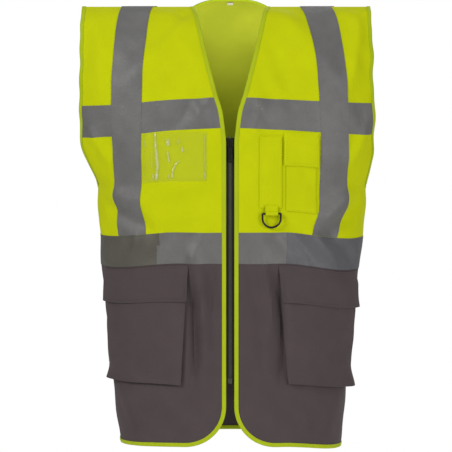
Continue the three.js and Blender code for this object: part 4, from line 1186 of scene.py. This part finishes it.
def makeTeeth(hand):
    # each tooth: a root clamped on the tape's cord, a neck, and a head that locks behind the other row's
    name = sideName[hand]
    low, high = zipZ(zipLook["bottom"]) + zipLook["boxHeight"], zipZ(zipLook["top"]) - 5.0
    first = low + 0.8 + (zipLook["pitch"] / 2 if hand > 0 else 0)
    outline = [(-zipLook["root"], 1.0), (-zipLook["root"] + 0.5, 1.0), (-0.4, 0.62), (0.5, 0.62),
               (1.0, 0.85), (1.5, 0.85), (zipLook["reach"], 0.5)]
    ring = outline + [(x, -z) for x, z in outline[::-1]]
    face = zipLook["thick"] / 2
    layers = [(face, 0.82), (face - 0.35, 1.0), (-face + 0.35, 1.0), (-face, 0.82)]
    points, faces = [], []
    for z in np.arange(first, high, zipLook["pitch"]):
        base = len(points)
        for y, shrink in layers:
            for x, dz in ring:
                wide, tall = x * (1 if x < 0 else shrink), dz * shrink * zipLook["tooth"] / 1.7
                points.append((-hand * wide * mm, (zipY + y) * mm, (z + tall) * mm))
        n = len(ring)
        for layer in range(3):
            for k in range(n):
                a, b = base + layer * n + k, base + layer * n + (k + 1) % n
                faces.append((a, b, b + n, a + n))
        faces.append(tuple(base + k for k in range(n - 1, -1, -1)))
        faces.append(tuple(base + 3 * n + k for k in range(n)))
    piece = makeMesh(f"zip_teeth_{name}", points, faces, material["acetal"], sharp=30)
    attach(fixNormals(piece), f"front_{name}", f"zip_teeth_{name}", slot="zip_acetal")


def bevelledCopy(node, body, look, slot, width, segments=2):
    # the frame's own shape with rounded edges
    mesh = bmesh.new()
    mesh.from_mesh(frame["nodes"][node].data)
    bmesh.ops.remove_doubles(mesh, verts=mesh.verts, dist=1e-6)
    bmesh.ops.dissolve_limit(mesh, angle_limit=math.radians(3), verts=mesh.verts, edges=mesh.edges)
    sharp = [e for e in mesh.edges if len(e.link_faces) == 2 and e.calc_face_angle(0) > math.radians(25)]
    bmesh.ops.bevel(mesh, geom=sharp, offset=width * mm, segments=segments, profile=0.6, affect="EDGES",
                    clamp_overlap=True)
    data = bpy.data.meshes.new(node)
    mesh.to_mesh(data)
    mesh.free()
    data.materials.clear()
    data.materials.append(material[look])
    data.polygons.foreach_set("use_smooth", [True] * len(data.polygons))
    data.set_sharp_from_angle(angle=math.radians(40))
    piece = bpy.data.objects.new(f"{node}_finish", data)
    bpy.context.scene.collection.objects.link(piece)
    pieces[node] = piece
    return attach(piece, body, node, slot=slot)


for hand in hands:
    makeZipTape(hand)
    makeTeeth(hand)
    bevelledCopy(f"zip_top_stop_{sideName[hand]}", f"front_{sideName[hand]}", "acetal", "zip_acetal", 0.25)
bevelledCopy("zip_pin", "front_right", "acetal", "zip_acetal", 0.25)
bevelledCopy("zip_box", "front_left", "acetal", "zip_acetal", 0.2)
bevelledCopy("zip_slider", "slider", "slider", "slider_metal", 0.3)
bevelledCopy("zip_pull", "pull", "slider", "slider_metal", 0.25)
print("zip done")

ringLook = {"middle": 66.0, "axis": 377.0, "out": 5.9, "wire": 1.7, "width": 33.0, "height": 24.0,
            "tabWidth": 20.0, "eye": 2.35, "tabThick": 1.1, "strap": 8.0}


def standing(g, t, height):
    # a frame on the worn shape: across, up the cloth, and out of it
    base = skin("front", g, t)
    across = skin("front", g + 2, t) - skin("front", g - 2, t)
    across /= np.linalg.norm(across)
    out = outward("front", g, t)
    up = np.cross(out, across)
    up = up if up[2] > 0 else -up
    return base + out * height, across, up, out


def makeRing():
    look = ringLook
    base, across, up, out = standing(look["middle"], look["axis"], look["out"])
    radius = look["width"] / 2 - look["wire"]
    straight = look["height"] - look["width"] / 2
    path = [(x, 0) for x in steps(-radius + 1.2, radius - 1.2, 2)]
    path += [(radius - 0.35, -0.35), (radius, -1.2)] + [(radius, z) for z in steps(-2.4, -straight, 2)]
    path += [(radius * math.cos(a), -straight - radius * math.sin(a))
             for a in np.linspace(0, math.pi, 25)[1:-1]]
    path += [(-radius, z) for z in steps(-straight, -2.4, 2)] + [(-radius, -1.2), (-radius + 0.35, -0.35)]
    path = np.array(path)
    count, around = len(path), 12
    sections = []
    for i in range(count):
        along = path[(i + 1) % count] - path[i - 1]
        along = along / np.hypot(*along)
        side = np.array([-along[1], along[0]])
        ring = []
        for a in np.linspace(0, 2 * math.pi, around, endpoint=False):
            p = path[i] + side * math.cos(a) * look["wire"]
            ring.append(base + across * p[0] + up * p[1] + out * math.sin(a) * look["wire"])
        sections.append(np.array(ring) * mm)
    faces = []
    for s in range(count):
        here, after = s * around, (s + 1) % count * around
        for k in range(around):
            beside = (k + 1) % around
            faces.append((here + k, here + beside, after + beside, after + k))
    piece = makeMesh("d_ring", np.concatenate(sections), faces, material["ring"], sharp=80)
    attach(fixNormals(piece), "ring", "d_ring", slot="black_acetal")


def makeTab():
    # webbing folded round the ring's bar, its two ends stitched under the pen pocket's foot
    look = ringLook
    base, across, up, out = standing(look["middle"], look["axis"], look["out"])
    radius = look["eye"] + look["tabThick"] / 2
    angles = np.linspace(math.radians(-55), math.radians(235), 30)
    route = [(-radius * math.cos(a), -radius * math.sin(a)) for a in angles]
    start = [(-3.4, look["strap"] + 5), (-3.4, look["strap"]), (-3.3, 4.5)]
    end = [(-2.0, 4.5), (-2.1, look["strap"]), (-2.1, look["strap"] + 5)]
    loop = start + route[::-1] + end
    xs = steps(-look["tabWidth"] / 2, look["tabWidth"] / 2, 1.5)
    grid = np.array([[base + across * x + out * o + up * u for x in xs] for o, u in loop]) * mm
    length = lengthAlong(np.array(loop))
    place = np.stack([np.repeat(xs[None, :], len(loop), 0), np.repeat(length[:, None], len(xs), 1),
                      np.zeros((len(loop), len(xs)))], -1)
    piece = thickSheet("ring_tab", grid, look["tabThick"], "yellow", place, 60)
    attach(piece, "front_left", "ring_tab", slot="yellow_webbing")


makeRing()
makeTab()

labelLook = {"width": 10.0, "height": 11.0, "top": 742.0, "gap": 1.2, "thick": 0.4}


def makeLabel():
    look = labelLook
    g, t = np.meshgrid(steps(-look["width"] / 2, look["width"] / 2, 1),
                       steps(look["top"] - look["height"], look["top"], 1))
    lift = -look["gap"] - 0.3 * np.sin((look["top"] - t) / look["height"] * 3)
    piece = clothSlab("neck_label", "back", g, t, lift - look["thick"], lift, material["label"])
    attach(fixNormals(piece), "back", "neck_label", slot="satin_label")


makeLabel()
print("small pieces done")

for key in sorted(stitchRuns):
    kind, rest = key.split(" ", 1)
    thread = {"tape": "tapeThread", "yellow": "yellowThread", "grey": "greyThread"}[kind]
    readable = key.replace(" ", "_").replace("False", "still").replace("True", "shoulder")
    piece = makeStitches(f"stitches_{readable}", key, thread)
    if "flap" in rest:
        pocket = rest.split(" ")[-1]
        attach(piece, "phone_flap_body" if pocket == "phone" else "pocket_flap_" + pocket.split("_")[1])
    else:
        body, bends = rest.rsplit(" ", 1)
        attach(piece, body, bends=bends == "True" and body != "back")
print("stitches:", len(stitchRuns))

studio = {"floor": "#f1f1ef", "floorZ": -1.15, "floorHalf": 1.6, "ambient": 0.3, "distance": 8.0,
          "tilt": 5.0,
          "viewWidth": 0.7267, "middleZ": -0.3469, "shiftX": -0.0068}


def makeStudio():
    s = studio
    half, z = s["floorHalf"], s["floorZ"]
    floorMaterial, _, shader = newMaterial("matt painted board, pale", {"Roughness": 0.9})
    shader.inputs["Base Color"].default_value = linear(s["floor"])
    mesh = bpy.data.meshes.new("floor")
    mesh.from_pydata([(-half, -half, z), (half, -half, z), (half, half, z), (-half, half, z)], [],
                     [(0, 1, 2, 3)])
    mesh.materials.append(floorMaterial)
    floor = bpy.data.objects.new("floor", mesh)
    bpy.context.scene.collection.objects.link(floor)
    world = bpy.data.worlds.new("studio")
    bpy.context.scene.world = world
    world.use_nodes = True
    tree = world.node_tree
    back = tree.nodes["Background"]
    seen = addNode(tree, "LightPath")
    strength = addNode(tree, "MapRange", {"To Min": s["ambient"], "To Max": 1.0},
                       {"Value": seen.outputs["Is Camera Ray"]})
    tree.links.new(strength.outputs["Result"], back.inputs["Strength"])
    back.inputs["Color"].default_value = (1, 1, 1, 1)


def addLight(name, place, aim, size, power, spread=180):
    light = bpy.data.lights.new(name, "AREA")
    light.shape, light.size, light.energy = "SQUARE", size, power
    light.spread = math.radians(spread)
    lamp = bpy.data.objects.new(name, light)
    lamp.location = place
    lamp.rotation_euler = (Vector(aim) - Vector(place)).to_track_quat("-Z", "Y").to_euler()
    lamp.visible_camera = False
    bpy.context.scene.collection.objects.link(lamp)


def addCamera():
    s = studio
    camera = bpy.data.cameras.new("camera")
    front = worn["front"] * mm
    camera.sensor_width = 36
    camera.lens = camera.sensor_width * s["distance"] / s["viewWidth"]
    camera.clip_end = 50
    seen = bpy.data.objects.new("camera", camera)
    tilt = math.radians(s["tilt"])
    seen.location = (s["shiftX"], -front - s["distance"] * math.cos(tilt),
                     s["middleZ"] + s["distance"] * math.sin(tilt))
    seen.rotation_euler = (math.pi / 2 - tilt, 0, 0)
    bpy.context.scene.collection.objects.link(seen)
    bpy.context.scene.camera = seen


makeStudio()
addLight("key", (-1.7, -1.9, 0.9), (0, 0, -0.35), 0.8, 27)
addLight("fill", (1.7, -2.1, -0.1), (0, 0, -0.45), 1.2, 19)
addLight("top", (0, 0.3, 1.6), (0, 0, -0.3), 1.2, 4)
addLight("back", (0.9, 2.2, 0.6), (0, 0, -0.35), 1.2, 24)
addLight("collar", (0.0, -0.02, -0.09), (0.0, 0.06, -0.03), 0.08, 0.11)
addCamera()
bpy.context.scene.view_settings.view_transform = "Standard"

print("pieces:", len(pieces))
